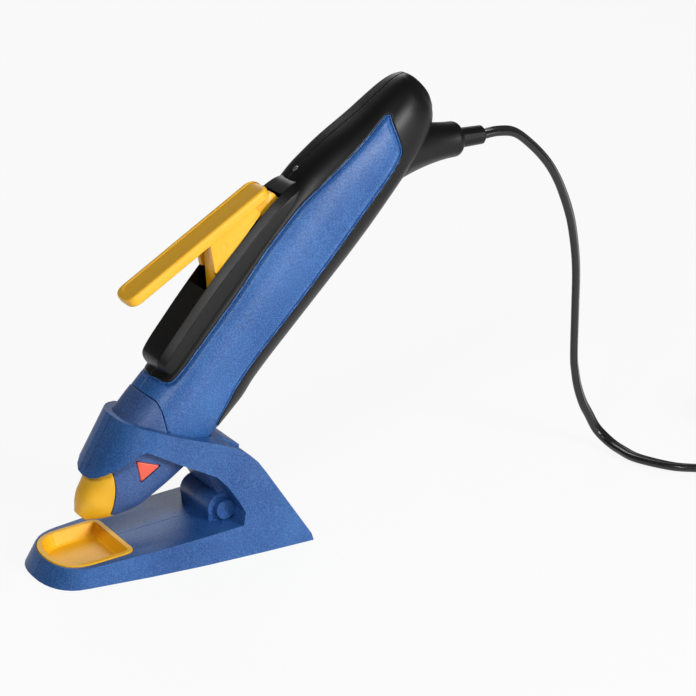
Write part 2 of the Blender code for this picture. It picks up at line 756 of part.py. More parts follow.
def build_tray(shop):
    """Open bowl that hangs in the deck by its rim."""
    under_rim = TRAY_LIP - TRAY_RIM_HEIGHT
    floor = TRAY_LIP - TRAY_DEPTH
    bowl = TRAY_RIM_WIDTH
    inside = bowl + TRAY_WALL - TRAY_RIM_WIDTH / 2.0
    rings = [
        tray_ring(floor - TRAY_WALL / 2.0, bowl + TRAY_DRAFT),
        tray_ring(under_rim, bowl),
        tray_ring(under_rim, 0.0),
        tray_ring(TRAY_LIP - TRAY_LIP / 2.0, 0.0),
        tray_ring(TRAY_LIP, TRAY_LIP / 2.0),
        tray_ring(TRAY_LIP, inside - TRAY_LIP / 2.0),
        tray_ring(TRAY_LIP - TRAY_LIP / 2.0, inside),
        tray_ring(floor + TRAY_WALL, inside + TRAY_DRAFT),
        tray_ring(floor + TRAY_WALL / 2.0, inside + TRAY_DRAFT + TRAY_WALL / 2.0),
    ]
    tray = place(loft_mesh("drip_tray", rings), "drip_tray", shop.deck, shop, shop.yellow)
    soften(tray)


# Pen body


def pen_station(row, inset):
    """Section of the pen: a superellipse ring at one row of the body table."""
    share, top, bottom, width = row
    top_z = top * PEN_HALF_HEIGHT - inset
    bottom_z = bottom * PEN_HALF_HEIGHT + inset
    half_width = width * PEN_HALF_WIDTH - inset
    return share * PEN_LENGTH, top_z, bottom_z, half_width


def section_ring(x, top_z, bottom_z, half_width, power, lean, sides=24):
    middle = (top_z + bottom_z) / 2.0
    half_height = (top_z - bottom_z) / 2.0
    ring = []
    for index in range(sides):
        angle = 2.0 * math.pi * index / sides
        c = math.cos(angle)
        s = math.sin(angle)
        y = half_width * math.copysign(abs(c) ** (2.0 / power), c)
        z = half_height * math.copysign(abs(s) ** (2.0 / power), s)
        ring.append((x + lean * z, y, middle + z))
    return ring


def pen_rings(rows, inset, sides=24):
    rings = []
    for row in rows:
        x, top_z, bottom_z, half_width = pen_station(row, inset)
        lean = REAR_LEAN * max(0.0, (row[0] - 0.90) / 0.10)
        rings.append(section_ring(x, top_z, bottom_z, half_width, PEN_POWER, lean, sides))
    return rings


def pen_form(name, inset, shop, first=0, last=None, sides=24):
    """Closed solid of the pen's outer form, pulled in by a wall on its sides and its rear end."""
    rings = pen_rings(BODY_SHARES[first:last], inset, sides)
    rings[-1] = [(x - inset, y, z) for x, y, z in rings[-1]]
    return place(loft_mesh(name, rings), name, shop.pen, shop)


def pen_passage(shop):
    """Space of the pen in the collar, carried on straight so that it can be drawn out."""
    rows = list(BODY_SHARES[2:11])
    widest = rows[-1]
    reach = 0.72
    rows.append((reach, widest[1], widest[2], widest[3]))
    inset = -COVER_PROUD - GAP
    return place(loft_mesh("pen_passage", pen_rings(rows, inset)), "pen_passage", shop.pen, shop)


def cap_seam(name, clearance, shop):
    """Wide cylinder across the pen whose rear side is the seam of the cap."""
    radius = CAP_SEAM_RADIUS + clearance
    x = CAP_SEAM_STATION - CAP_SEAM_RADIUS * math.cos(PEN_ANGLE)
    z = CAP_SEAM_RADIUS * math.sin(PEN_ANGLE)
    mesh = rod_mesh(name, x, z, -2.0 * PEN_HALF_WIDTH, 2.0 * PEN_HALF_WIDTH, radius, sides=96)
    return place(mesh, name, shop.pen, shop)


def cover_region(name, shift, shop):
    """Everything ahead of the rear edge of the nose cover."""
    edge = [(x * COVER_SEAM_STATION + shift, z * PEN_HALF_HEIGHT) for x, z in COVER_SEAM_SHARES]
    front = -PEN_HALF_WIDTH
    outline = [(front, edge[0][1]), *edge, (front, edge[-1][1])]
    return prism(name, outline, -2.0 * PEN_HALF_WIDTH, 2.0 * PEN_HALF_WIDTH, shop.pen, shop)


def panel_region(name, shift, shop):
    """Blue front shell and side panels as one outline; shift grows it all round."""
    top = scaled(PANEL_TOP_SHARES, PEN_LENGTH, PEN_HALF_HEIGHT)
    rear = scaled(PANEL_REAR_SHARES, PEN_LENGTH, PEN_HALF_HEIGHT)
    lower = scaled(PANEL_LOWER_SHARES, PEN_LENGTH, PEN_HALF_HEIGHT)
    front_top = (top[0][0] + shift, PEN_HALF_HEIGHT * 1.4)
    outline = [(-PEN_HALF_WIDTH, front_top[1]), front_top]
    outline += [(x + (shift if index == 0 else 0.0), z + shift) for index, (x, z) in enumerate(top)]
    outline += [(x + shift, z) for x, z in rear]
    outline += [(x, z - shift) for x, z in lower]
    last_x = lower[-1][0] - PEN_WALL
    outline += [(last_x + shift, -PEN_HALF_HEIGHT * 1.4), (-PEN_HALF_WIDTH, -PEN_HALF_HEIGHT * 1.4)]
    return prism(name, outline, -2.0 * PEN_HALF_WIDTH, 2.0 * PEN_HALF_WIDTH, shop.pen, shop)


def pen_inside(shop):
    """Hollow of the pen, narrower where the neck of the housing enters the nose cover."""
    neck_inset = PEN_WALL + GAP + NECK_WALL
    neck_end = COVER_SEAM_STATION + NECK_LENGTH
    rings = []
    for row in BODY_SHARES[7:-2]:
        inset = neck_inset if row[0] * PEN_LENGTH < neck_end else PEN_WALL
        rings += pen_rings([row], inset, sides=20)
    return place(loft_mesh("pen_inside", rings), "pen_inside", shop.pen, shop)


def hump_form(name, inset, shop):
    """Raised block that the lever sinks into, with its rim behind the lever."""
    length = HUMP_END - HUMP_START
    rings = []
    for share, top, width in HUMP_SHARES:
        x = HUMP_START + share * length
        rings.append(section_ring(x, top * HUMP_HEIGHT - inset, HUMP_BASE, width * HUMP_HALF_WIDTH - inset,
                                  5.0, 0.0, 24))
    for share, rise, width in HUMP_RIM_SHARES:
        x = HUMP_START + share * length
        rings.append(section_ring(x, HUMP_HEIGHT + rise * HUMP_RIM_RISE - inset, HUMP_BASE,
                                  width * HUMP_HALF_WIDTH - inset, 5.0, 0.0, 24))
    return place(loft_mesh(name, rings), name, shop.pen, shop)


def slot_cutters(shop):
    """Slot for the lever, open at the top, and the pocket under its front edge for the link."""
    half = LEVER_HALF_WIDTH + GAP
    top = HUMP_HEIGHT + 2.0 * HUMP_RIM_RISE
    slot = place(box_mesh("lever_slot", (SLOT_FRONT, -half, SLOT_FLOOR), (SLOT_REAR, half, top + OVERRUN)),
                 "lever_slot", shop.pen, shop)
    pocket = place(box_mesh("link_pocket", (SLOT_POCKET_FRONT, -half, SLOT_FLOOR),
                            (SLOT_REAR, half, SLOT_POCKET_HEIGHT)), "link_pocket", shop.pen, shop)
    return slot, pocket


def snout_profile(inset):
    """Cone that the cord leaves by, from its end face forward, as (station, radius)."""
    length = SNOUT_END_X - SNOUT_ROOT_X
    end = SNOUT_END_RADIUS - inset
    root = SNOUT_ROOT_RADIUS - inset
    profile = [(SNOUT_END_X - inset, 0.0), (SNOUT_END_X - inset, (1.0 - SNOUT_ROUND_SHARE) * end)]
    for share in (0.25, 0.5, 0.75, 1.0):
        angle = math.radians(90.0) * share
        profile.append((SNOUT_END_X - inset - SNOUT_ROUND_SHARE * end * (1.0 - math.cos(angle)),
                        end * (1.0 - SNOUT_ROUND_SHARE * (1.0 - math.sin(angle)))))
    for share in (0.15, 0.35, 0.6, 0.8, 1.0):
        blend = share ** 1.7
        profile.append((SNOUT_END_X - inset - 0.4 * end - (length - 0.4 * end) * share, end + (root - end) * blend))
    profile.append((SNOUT_ROOT_X, 0.0))
    return profile


def snout(name, inset, shop):
    return turned(name, snout_profile(inset), shop.desk, shop, location=(0.0, 0.0, SNOUT_HEIGHT))


def relief_profile(clearance):
    """Strain relief from its outer end back to its flange, as (station, radius)."""
    out = SNOUT_END_X + RELIEF_OUT
    root = out - RELIEF_LENGTH - clearance
    flange = root + RELIEF_FLANGE_WIDTH + 2.0 * clearance
    return [
        (out, 0.0), (out, RELIEF_TIP_RADIUS + clearance - 2.0 * GAP), (out - 2.0 * GAP, RELIEF_TIP_RADIUS + clearance),
        (flange, RELIEF_RADIUS + clearance), (flange, RELIEF_FLANGE_RADIUS + clearance),
        (root, RELIEF_FLANGE_RADIUS + clearance), (root, 0.0),
    ]


def pen_screw_places():
    return [(x * PEN_LENGTH, z * PEN_HALF_HEIGHT) for x, z in PEN_SCREW_SHARES]


def pen_screw_seat():
    return PEN_SCREW_SEAT_SHARE * PEN_HALF_WIDTH


def entry_mouth(shop):
    """Hole in the rear end for the entry ring."""
    rear = PEN_LENGTH + OVERRUN
    front = PEN_LENGTH - ENTRY_LENGTH - OVERRUN
    radius = ENTRY_RADIUS + GAP
    profile = [(rear, 0.0), (rear, radius), (front, radius), (front, 0.0)]
    return turned("entry_mouth", profile, shop.pen, shop, steps=20)


def cord_way(shop):
    """Passage of the wires from the housing into the snout."""
    end = SNOUT_END_X + RELIEF_OUT - RELIEF_LENGTH
    throat = (end + CORD_WAY_START_X) / 2.0
    profile = [(end, 0.0), (end, CORD_WAY_RADIUS), (throat, CORD_WAY_RADIUS),
               (CORD_WAY_START_X, CORD_WAY_MOUTH_RADIUS), (CORD_WAY_START_X, 0.0)]
    return turned("cord_way", profile, shop.desk, shop, location=(0.0, 0.0, SNOUT_HEIGHT), steps=20)


def build_housing(shop):
    """Blue shells with the black grips over them, nose cover and cap, all cut from one outer form."""
    outer = pen_form("pen_outer", 0.0, shop)
    slot, pocket = slot_cutters(shop)
    relief_space = turned("relief_space", relief_profile(GAP), shop.desk, shop,
                          location=(0.0, 0.0, SNOUT_HEIGHT), steps=20)
    shared = [slot, pocket, entry_mouth(shop), cord_way(shop), lens_solid("lens_hole", GAP, shop), pivot_hole(shop)]
    for number, (x, z) in enumerate(pen_screw_places(), 1):
        shared.append(screw_hole(f"pen_hole_{number}", x, z, pen_screw_seat(), shop, shop.pen))
    build_grips(shop, outer, [relief_space, *shared])
    build_shells(shop, outer, shared)
    build_cover_and_cap(shop)


def build_halves(whole, names, finish, shop):
    """Part a solid on the middle plane into its left and right pieces."""
    for name, side in zip(names, (-1.0, 1.0)):
        half = place(whole.data.copy(), name, shop.pen, shop, finish)
        shape(half, ("INTERSECT", half_box(name + "_side", side, PEN_LENGTH, shop.pen, shop)), solver="MANIFOLD")


def build_grips(shop, outer, cutters):
    """Black soft halves: back, hump, rear end with the snout, and belly strip."""
    whole = place(outer.data.copy(), "grip_whole", shop.pen, shop)
    core = pen_form("grip_core", GRIP_SKIN - GAP, shop, last=-1)
    shape(whole, ("UNION", hump_form("hump_form", 0.0, shop)), ("UNION", snout("snout_form", 0.0, shop)),
          ("DIFFERENCE", panel_region("panel_space", GAP, shop)), ("DIFFERENCE", core),
          *[("DIFFERENCE", cutter) for cutter in cutters])
    build_halves(whole, ("grip_left", "grip_right"), shop.black, shop)


def pivot_hole(shop):
    """Blind hole for the lever pin in both walls of the hump."""
    reach = pivot_reach() + GAP
    mesh = rod_mesh("pivot_hole", LEVER_PIVOT[0], LEVER_PIVOT[1], -reach, reach, PIN_RADIUS + GAP)
    return place(mesh, "pivot_hole", shop.pen, shop)


def pivot_reach():
    return HUMP_HALF_WIDTH - LEVER_EDGE


def build_shells(shop, outer, cutters):
    """Blue halves: front shell and neck, side panels, the shell under the grip, ribs and screw tubes."""
    whole = pen_form("shell_whole", GRIP_SKIN, shop, last=-1)
    panel = place(outer.data.copy(), "panel_solid", shop.pen, shop)
    shape(panel, ("INTERSECT", panel_region("panel_form", 0.0, shop)))
    neck = pen_form("neck_form", PEN_WALL + GAP, shop, first=7, last=11)
    neck_window = place(box_mesh("neck_window", (COVER_SEAM_STATION - NECK_LENGTH, -PEN_HALF_WIDTH, -PEN_LENGTH),
                                 (COVER_SEAM_STATION + NECK_LENGTH, PEN_HALF_WIDTH, PEN_LENGTH)),
                        "neck_window", shop.pen, shop)
    shape(neck, ("INTERSECT", neck_window))
    shape(whole, ("UNION", panel), ("DIFFERENCE", cover_region("cover_space", GAP, shop)), ("UNION", neck),
          ("DIFFERENCE", pen_inside(shop)))
    core = pen_form("rib_limit", PEN_WALL / 2.0, shop, first=7, last=-1)
    inner_parts = [rib(f"rib_{number}", share * PEN_LENGTH, shop) for number, share in enumerate(RIB_SHARES, 1)]
    inner_parts += [screw_tube(f"pen_tube_{number}", x, z, shop)
                    for number, (x, z) in enumerate(pen_screw_places(), 1)]
    bore = turned("channel_bore", channel_profile(), shop.pen, shop, steps=20)
    for inner in inner_parts:
        shape(inner, ("INTERSECT", core), ("DIFFERENCE", bore))
    shape(whole, *[("UNION", inner) for inner in inner_parts],
          *[("DIFFERENCE", cutter) for cutter in cutters], solver="MANIFOLD")
    build_halves(whole, ("housing_left", "housing_right"), shop.blue, shop)


def rib(name, x, shop):
    """Plate across the pen that holds the glue path."""
    reach = PEN_HALF_WIDTH - PEN_WALL / 2.0
    half = RIB_THICKNESS / 2.0
    mesh = box_mesh(name, (x - half, -reach, -RIB_HALF_HEIGHT), (x + half, reach, RIB_HALF_HEIGHT / 2.0))
    return place(mesh, name, shop.pen, shop)


def screw_tube(name, x, z, shop):
    reach = PEN_HALF_WIDTH - PEN_WALL / 2.0
    radius = SCREW_SHANK_RADIUS + GAP + SCREW_TUBE_WALL
    return place(rod_mesh(name, x, z, -reach, reach, radius, sides=14), name, shop.pen, shop)


def channel_profile():
    """Space of the chamber and guide tube through the ribs, from the rear forward."""
    guide = GUIDE_RADIUS + GAP
    chamber = CHAMBER_RADIUS + GAP
    chamber_end = CHAMBER_START + CHAMBER_LENGTH + SLEEVE_LENGTH
    return [(PEN_LENGTH, 0.0), (PEN_LENGTH, guide), (chamber_end, guide), (chamber_end, chamber),
            (CHAMBER_START, chamber), (CHAMBER_START, 0.0)]


def build_cover_and_cap(shop):
    """Blue nose cover with its triangle inlays, and the yellow cap at the tip."""
    cover = pen_form("nose_cover_form", -COVER_PROUD, shop, last=11)
    core = pen_form("cover_core", PEN_WALL, shop, first=6, last=11)
    mouth = turned("cover_mouth", nozzle_space_profile(), shop.pen, shop, steps=16)
    cover = place(cover.data.copy(), "nose_cover", shop.pen, shop, shop.blue)
    shape(cover, ("INTERSECT", cover_region("cover_form", 0.0, shop)), ("DIFFERENCE", cap_seam("cap_space", GAP, shop)),
          ("DIFFERENCE", core), ("DIFFERENCE", mouth))
    combine(cover, inlay_prism("inlay_space_left", -1.0, GAP, shop), "DIFFERENCE")
    combine(cover, inlay_prism("inlay_space_right", 1.0, GAP, shop), "DIFFERENCE")
    bake(cover)
    soften(cover)
    skin = pen_form("inlay_skin", -COVER_PROUD, shop, last=11)
    for name, side in (("triangle_inlay_left", -1.0), ("triangle_inlay_right", 1.0)):
        block = inlay_prism(name + "_form", side, 0.0, shop)
        inlay = place(block.data.copy(), name, shop.pen, shop, shop.coral)
        inlay.matrix_world = block.matrix_world.copy()
        shape(inlay, ("INTERSECT", skin))
    cap_form = pen_form("cap_form", 0.0, shop, last=9)
    cap = place(cap_form.data.copy(), "nozzle_cap", shop.pen, shop, shop.yellow)
    shape(cap, ("INTERSECT", cap_seam("cap_side", 0.0, shop)), ("DIFFERENCE", mouth))


def inlay_prism(name, side, clearance, shop):
    """Triangular block through the flank of the cover down to the inlay's floor."""
    corners = scaled(INLAY_SHARES, PEN_LENGTH, PEN_HALF_HEIGHT)
    middle_x = sum(x for x, z in corners) / 3.0
    middle_z = sum(z for x, z in corners) / 3.0
    grow = 1.0 + 2.5 * clearance / (0.25 * PEN_HALF_HEIGHT)
    outline = [(middle_x + (x - middle_x) * grow, middle_z + (z - middle_z) * grow) for x, z in corners]
    flank = 0.82 * PEN_HALF_WIDTH - INLAY_DEPTH - clearance
    low, high = (flank, 1.5 * PEN_HALF_WIDTH) if side > 0 else (-1.5 * PEN_HALF_WIDTH, -flank)
    return prism(name, outline, low, high, shop.pen, shop)


# Glue path


def nozzle_space_profile():
    """Space of the nozzle in the cap and the cover, open at the tip."""
    radius = NOZZLE_RADIUS + GAP
    tip = NOZZLE_TIP_RADIUS + 2.0 * GAP
    shoulder = NOZZLE_SHOULDER_RADIUS + GAP
    end = CHAMBER_START + OVERRUN
    chamber = CHAMBER_RADIUS + GAP
    return [
        (end, 0.0), (end, chamber), (CHAMBER_START - GAP, chamber), (CHAMBER_START - GAP, shoulder),
        (0.8 * CHAMBER_START, shoulder), (0.8 * CHAMBER_START - GAP, radius), (0.3 * CHAMBER_START, radius),
        (NOZZLE_TIP_STATION, tip), (-OVERRUN, tip), (-OVERRUN, 0.0),
    ]


def build_nozzle(shop):
    rear = CHAMBER_START - GAP
    profile = [
        (rear, NOZZLE_SHOULDER_RADIUS), (0.8 * CHAMBER_START + GAP, NOZZLE_SHOULDER_RADIUS),
        (0.8 * CHAMBER_START + GAP, NOZZLE_RADIUS), (0.3 * CHAMBER_START, NOZZLE_RADIUS),
        (NOZZLE_TIP_STATION, NOZZLE_TIP_RADIUS), (NOZZLE_TIP_STATION, NOZZLE_BORE_RADIUS),
        (0.3 * CHAMBER_START, NOZZLE_BORE_RADIUS), (rear, STICK_RADIUS),
    ]
    soften(turned("nozzle", profile, shop.pen, shop, shop.brass, closed=True, steps=16))


def heater_centre():
    return CHAMBER_START + HEATER_CENTRE_SHARE * CHAMBER_LENGTH


def build_chamber(shop):
    """Melt chamber with a flat on top for the heater."""
    end = CHAMBER_START + CHAMBER_LENGTH
    profile = [(end, CHAMBER_RADIUS), (CHAMBER_START, CHAMBER_RADIUS), (CHAMBER_START, STICK_RADIUS),
               (end, CHANNEL_RADIUS)]
    chamber = turned("melt_chamber", profile, shop.pen, shop, shop.aluminium, closed=True)
    middle = heater_centre()
    half = HEATER_LENGTH / 2.0 + CLAMP_SHEET
    flat = place(box_mesh("heater_flat", (middle - half, -CHAMBER_RADIUS, CHAMBER_FLAT),
                          (end + OVERRUN, CHAMBER_RADIUS, 2.0 * CHAMBER_RADIUS)), "heater_flat", shop.pen, shop)
    shape(chamber, ("DIFFERENCE", flat))
    low = CHAMBER_FLAT + GAP
    high = low + HEATER_HEIGHT
    half = HEATER_LENGTH / 2.0
    place(box_mesh("heater_plate", (middle - half, -HEATER_WIDTH / 2.0, low), (middle + half, HEATER_WIDTH / 2.0, high)),
          "heater_plate", shop.pen, shop, shop.ceramic)
    middle = CHAMBER_START + CLAMP_CENTRE_SHARE * CHAMBER_LENGTH
    half = CLAMP_LENGTH / 2.0
    reach = CHAMBER_RADIUS + GAP
    top = high + GAP
    clamp = place(box_mesh("heater_clamp", (middle - half, -reach - CLAMP_SHEET, -CHAMBER_RADIUS / 2.0),
                           (middle + half, reach + CLAMP_SHEET, top + CLAMP_SHEET)),
                  "heater_clamp", shop.pen, shop, shop.steel)
    inside = place(box_mesh("clamp_inside", (middle - CLAMP_LENGTH, -reach, -CHAMBER_RADIUS),
                            (middle + CLAMP_LENGTH, reach, top)), "clamp_inside", shop.pen, shop)
    shape(clamp, ("DIFFERENCE", inside))


def build_channel(shop):
    """Sleeve behind the chamber, guide tube and entry ring."""
    start = CHAMBER_START + CHAMBER_LENGTH + GAP
    end = start + SLEEVE_LENGTH - GAP
    sleeve = [(end, SLEEVE_RADIUS), (start, SLEEVE_RADIUS), (start, CHANNEL_RADIUS), (end, CHANNEL_RADIUS)]
    soften(turned("stick_sleeve", sleeve, shop.pen, shop, shop.silicone, closed=True))
    ring_start = PEN_LENGTH - ENTRY_LENGTH
    guide_end = ring_start + ENTRY_SOCKET_DEPTH - GAP
    guide = [(guide_end, GUIDE_RADIUS), (GUIDE_START, GUIDE_RADIUS), (GUIDE_START, CHANNEL_RADIUS),
             (guide_end, CHANNEL_RADIUS)]
    soften(turned("guide_tube", guide, shop.pen, shop, shop.black, closed=True))
    rear = BODY_SHARES[-1][0] * PEN_LENGTH - GAP
    socket = GUIDE_RADIUS + GAP
    ring = [(rear, ENTRY_RADIUS), (ring_start, ENTRY_RADIUS), (ring_start, socket),
            (ring_start + ENTRY_SOCKET_DEPTH, socket), (ring_start + ENTRY_SOCKET_DEPTH, CHANNEL_RADIUS),
            (rear - 2.0 * TRAY_WALL, CHANNEL_RADIUS), (rear, ENTRY_RADIUS - TRAY_WALL / 2.0)]
    soften(turned("entry_ring", ring, shop.pen, shop, shop.black, closed=True))


# Feed linkage


def arc(x, z, radius, start, end, count):
    """Points on an arc, angles in degrees from X towards Z."""
    points = []
    for index in range(count):
        angle = math.radians(start + (end - start) * index / (count - 1))
        points.append((x + radius * math.cos(angle), z + radius * math.sin(angle)))
    return points


def lever_top(x):
    """Height of the lever's upper face at a station."""
    share = (x - LEVER_FRONT) / (LEVER_REAR - LEVER_FRONT)
    return LEVER_TOP_FRONT + (LEVER_TOP_REAR - LEVER_TOP_FRONT) * share


def lever_bar_outline():
    front = LEVER_FRONT + LEVER_BAR_THICKNESS / 2.0
    rear = LEVER_REAR - LEVER_BAR_THICKNESS
    drop = LEVER_BAR_THICKNESS
    return (
        arc(front, lever_top(front) - drop / 2.0, drop / 2.0, 255.0, 75.0, 7)
        + [(rear, lever_top(rear))]
        + arc(rear, lever_top(rear) - drop, drop, 72.0, 0.0, 5)
        + [(LEVER_REAR, LEVER_PIVOT[1])]
        + arc(LEVER_PIVOT[0], LEVER_PIVOT[1], LEVER_REAR - LEVER_PIVOT[0], 0.0, -180.0, 9)
        + [(LEVER_PIVOT[0] - 1.6 * LEVER_BAR_THICKNESS, LEVER_TOP_REAR - 1.6 * drop)]
        + [(LINK_PIN[0], lever_top(LINK_PIN[0]) - 1.15 * drop)]
    )


def lever_cheek_outline():
    """Web under the bar that holds the link pin."""
    tip_x = LINK_PIN[0] - 2.2 * LEVER_BAR_THICKNESS
    tip_z = LINK_PIN[1] - 0.95 * LEVER_BAR_THICKNESS
    rear_x = LEVER_PIVOT[0] - LEVER_BAR_THICKNESS
    return [
        (LINK_PIN[0] - 0.7 * LEVER_BAR_THICKNESS, lever_top(LINK_PIN[0]) - 0.5 * LEVER_BAR_THICKNESS),
        (rear_x, lever_top(rear_x) - 0.5 * LEVER_BAR_THICKNESS),
        (rear_x, LEVER_PIVOT[1] + 1.2 * LEVER_BAR_THICKNESS),
        (tip_x + 1.5 * PIN_RADIUS, tip_z - 0.3 * PIN_RADIUS),
        (tip_x, tip_z + 0.4 * PIN_RADIUS),
    ]


def build_lever(shop):
    """Finger lever: bar, two cheeks for the link and a boss for its pivot."""
    half = LEVER_HALF_WIDTH
    bar = prism("lever_bar", lever_bar_outline(), -half, half, shop.pen, shop)
    bevel(bar, LEVER_EDGE)
    cheek = prism("lever_cheeks", lever_cheek_outline(), -half + GAP / 3.0, half - GAP / 3.0, shop.pen, shop)
    link_half = half - LEVER_CHEEK
    clear = prism("lever_clevis", link_space_outline(), -link_half, link_half, shop.pen, shop)
    pin_hole = place(rod_mesh("link_pin_hole", LINK_PIN[0], LINK_PIN[1], -PEN_HALF_WIDTH, PEN_HALF_WIDTH,
                              PIN_RADIUS + GAP), "link_pin_hole", shop.pen, shop)
    axle_hole = place(rod_mesh("axle_hole", LEVER_PIVOT[0], LEVER_PIVOT[1], -PEN_HALF_WIDTH, PEN_HALF_WIDTH,
                               PIN_RADIUS + GAP), "axle_hole", shop.pen, shop)
    panel = prism("lever_panel", lever_panel_outline(), LEVER_PANEL_MARGIN - half, half - LEVER_PANEL_MARGIN,
                  shop.pen, shop)
    shape(bar, ("UNION", cheek), ("DIFFERENCE", clear), ("DIFFERENCE", pin_hole), ("DIFFERENCE", axle_hole),
          ("DIFFERENCE", panel))
    lever = place(in_frame(bar, shop.lever, shop.pen), "lever", shop.lever, shop, shop.yellow)
    soften(lever)


def lever_panel_outline():
    """Shallow recess in the upper face, rounded at its front end."""
    front = LEVER_FRONT + 1.5 * LEVER_PANEL_MARGIN
    rear = LEVER_REAR - 2.0 * LEVER_BAR_THICKNESS
    depth = LEVER_PANEL_DEPTH
    return [(front, lever_top(front) - depth), (front, lever_top(front) + OVERRUN),
            (rear, lever_top(rear) + OVERRUN), (rear, lever_top(rear) - depth)]


def link_space_outline():
    """Room between the cheeks in which the link swings."""
    front = LINK_PIN[0] - 3.0 * LEVER_BAR_THICKNESS
    rear = LEVER_PIVOT[0] - 2.0 * LEVER_BAR_THICKNESS
    eye = PIN_RADIUS + LINK_EYE_WALL + 2.0 * GAP
    above = LINK_PIN[1] + eye
    return [(front, -PEN_HALF_HEIGHT), (front, above), (LINK_PIN[0] + eye, above),
            (rear, above - 2.0 * PIN_RADIUS), (rear, -PEN_HALF_HEIGHT)]


def in_frame(piece, frame, old_frame):
    """Copy of a piece's mesh moved from one parent frame's coordinates into another's."""
    mesh = piece.data.copy()
    mesh.transform(frame.matrix_world.inverted() @ old_frame.matrix_world @ piece.matrix_parent_inverse
                   @ piece.matrix_basis)
    return mesh


def link_outline(eye):
    """Bar between the two pins with a round eye at each end."""
    dx = CARRIAGE_PIN[0] - LINK_PIN[0]
    dz = CARRIAGE_PIN[1] - LINK_PIN[1]
    heading = math.degrees(math.atan2(dz, dx))
    upper = PIN_RADIUS + GAP + LINK_EYE_WALL
    return (arc(LINK_PIN[0], LINK_PIN[1], upper, heading + 100.0, heading + 260.0, 9)
            + arc(CARRIAGE_PIN[0], CARRIAGE_PIN[1], eye, heading - 110.0, heading + 110.0, 13))


def build_link(shop):
    """Link from the lever to the carriage; its lower eye has room for the open pivot."""
    eye = PIN_RADIUS + LINK_CLEARANCE + LINK_EYE_WALL
    body = prism("link_form", link_outline(eye), -LINK_HALF_WIDTH, LINK_HALF_WIDTH, shop.pen, shop)
    upper = place(rod_mesh("link_hole_upper", LINK_PIN[0], LINK_PIN[1], -PEN_HALF_WIDTH, PEN_HALF_WIDTH,
                           PIN_RADIUS + GAP), "link_hole_upper", shop.pen, shop)
    lower = place(rod_mesh("link_hole_lower", CARRIAGE_PIN[0], CARRIAGE_PIN[1], -PEN_HALF_WIDTH, PEN_HALF_WIDTH,
                           PIN_RADIUS + LINK_CLEARANCE), "link_hole_lower", shop.pen, shop)
    shape(body, ("DIFFERENCE", upper), ("DIFFERENCE", lower))
    soften(place(in_frame(body, shop.link, shop.pen), "link", shop.link, shop, shop.steel))


def build_pins(shop):
    """Steel pins of the linkage."""
    offset = LEVER_PIVOT[0]
    lever_pin_reach = LEVER_HALF_WIDTH - GAP
    soften(place(rod_mesh("link_pin", LINK_PIN[0] - offset, LINK_PIN[1] - LEVER_PIVOT[1], -lever_pin_reach,
                          lever_pin_reach, PIN_RADIUS, sides=16), "link_pin", shop.lever, shop, shop.steel))
    reach = pivot_reach()
    soften(place(rod_mesh("lever_pivot_pin", LEVER_PIVOT[0], LEVER_PIVOT[1], -reach, reach, PIN_RADIUS, sides=16),
                 "lever_pivot_pin", shop.pen, shop, shop.steel))
    reach = CARRIAGE_HALF_WIDTH - GAP
    soften(place(rod_mesh("carriage_pin", 0.0, CARRIAGE_PIN[1], -reach, reach, PIN_RADIUS, sides=16),
                 "carriage_pin", shop.carriage, shop, shop.steel))


def build_carriage(shop):
    """Block that slides on the stick, with two ears for its pin and a rubber gripper inside."""
    front = CARRIAGE_FRONT - CARRIAGE_PIN[0]
    rear = front + CARRIAGE_LENGTH
    half_height = CARRIAGE_HALF_HEIGHT
    half_width = CARRIAGE_HALF_WIDTH
    block = place(box_mesh("carriage_block", (front, -half_width, -half_height), (rear, half_width, half_height)),
                  "carriage_block", shop.carriage, shop)
    bevel(block, LEVER_EDGE, segments=1)
    ear = CARRIAGE_EAR_RADIUS
    outline = arc(0.0, CARRIAGE_PIN[1], ear, 180.0, 0.0, 9) + [(1.6 * ear, half_height / 2.0), (-1.6 * ear, half_height / 2.0)]
    ears = prism("carriage_ears", outline, -half_width + GAP / 3.0, half_width - GAP / 3.0, shop.carriage, shop)
    link_half = LINK_HALF_WIDTH + GAP
    room = prism("carriage_room", [(-3.0 * ear, half_height), (3.0 * ear, half_height), (3.0 * ear, 3.0 * CARRIAGE_PIN[1]),
                                   (-3.0 * ear, 3.0 * CARRIAGE_PIN[1])], -link_half, link_half, shop.carriage, shop)
    bore_profile = [(rear + OVERRUN, 0.0), (rear + OVERRUN, CHANNEL_RADIUS), (front - OVERRUN, CHANNEL_RADIUS),
                    (front - OVERRUN, 0.0)]
    bore = turned("carriage_bore", bore_profile, shop.carriage, shop)
    seat_front = rear - GRIPPER_LENGTH - GAP
    seat_profile = [(rear + OVERRUN, 0.0), (rear + OVERRUN, GRIPPER_RADIUS + GAP), (seat_front, GRIPPER_RADIUS + GAP),
                    (seat_front, 0.0)]
    seat = turned("gripper_seat", seat_profile, shop.carriage, shop)
    hole = place(rod_mesh("carriage_pin_hole", 0.0, CARRIAGE_PIN[1], -PEN_HALF_WIDTH, PEN_HALF_WIDTH,
                          PIN_RADIUS + GAP), "carriage_pin_hole", shop.carriage, shop)
    shape(block, ("UNION", ears), ("DIFFERENCE", room), ("DIFFERENCE", bore), ("DIFFERENCE", seat),
          ("DIFFERENCE", hole))
    soften(place(block.data.copy(), "feed_carriage", shop.carriage, shop, shop.black))
    gripper_front = rear - GRIPPER_LENGTH
    gripper = [(rear, GRIPPER_RADIUS), (gripper_front, GRIPPER_RADIUS), (gripper_front, STICK_RADIUS),
               (rear, STICK_RADIUS)]
    soften(turned("stick_gripper", gripper, shop.carriage, shop, shop.silicone, closed=True))


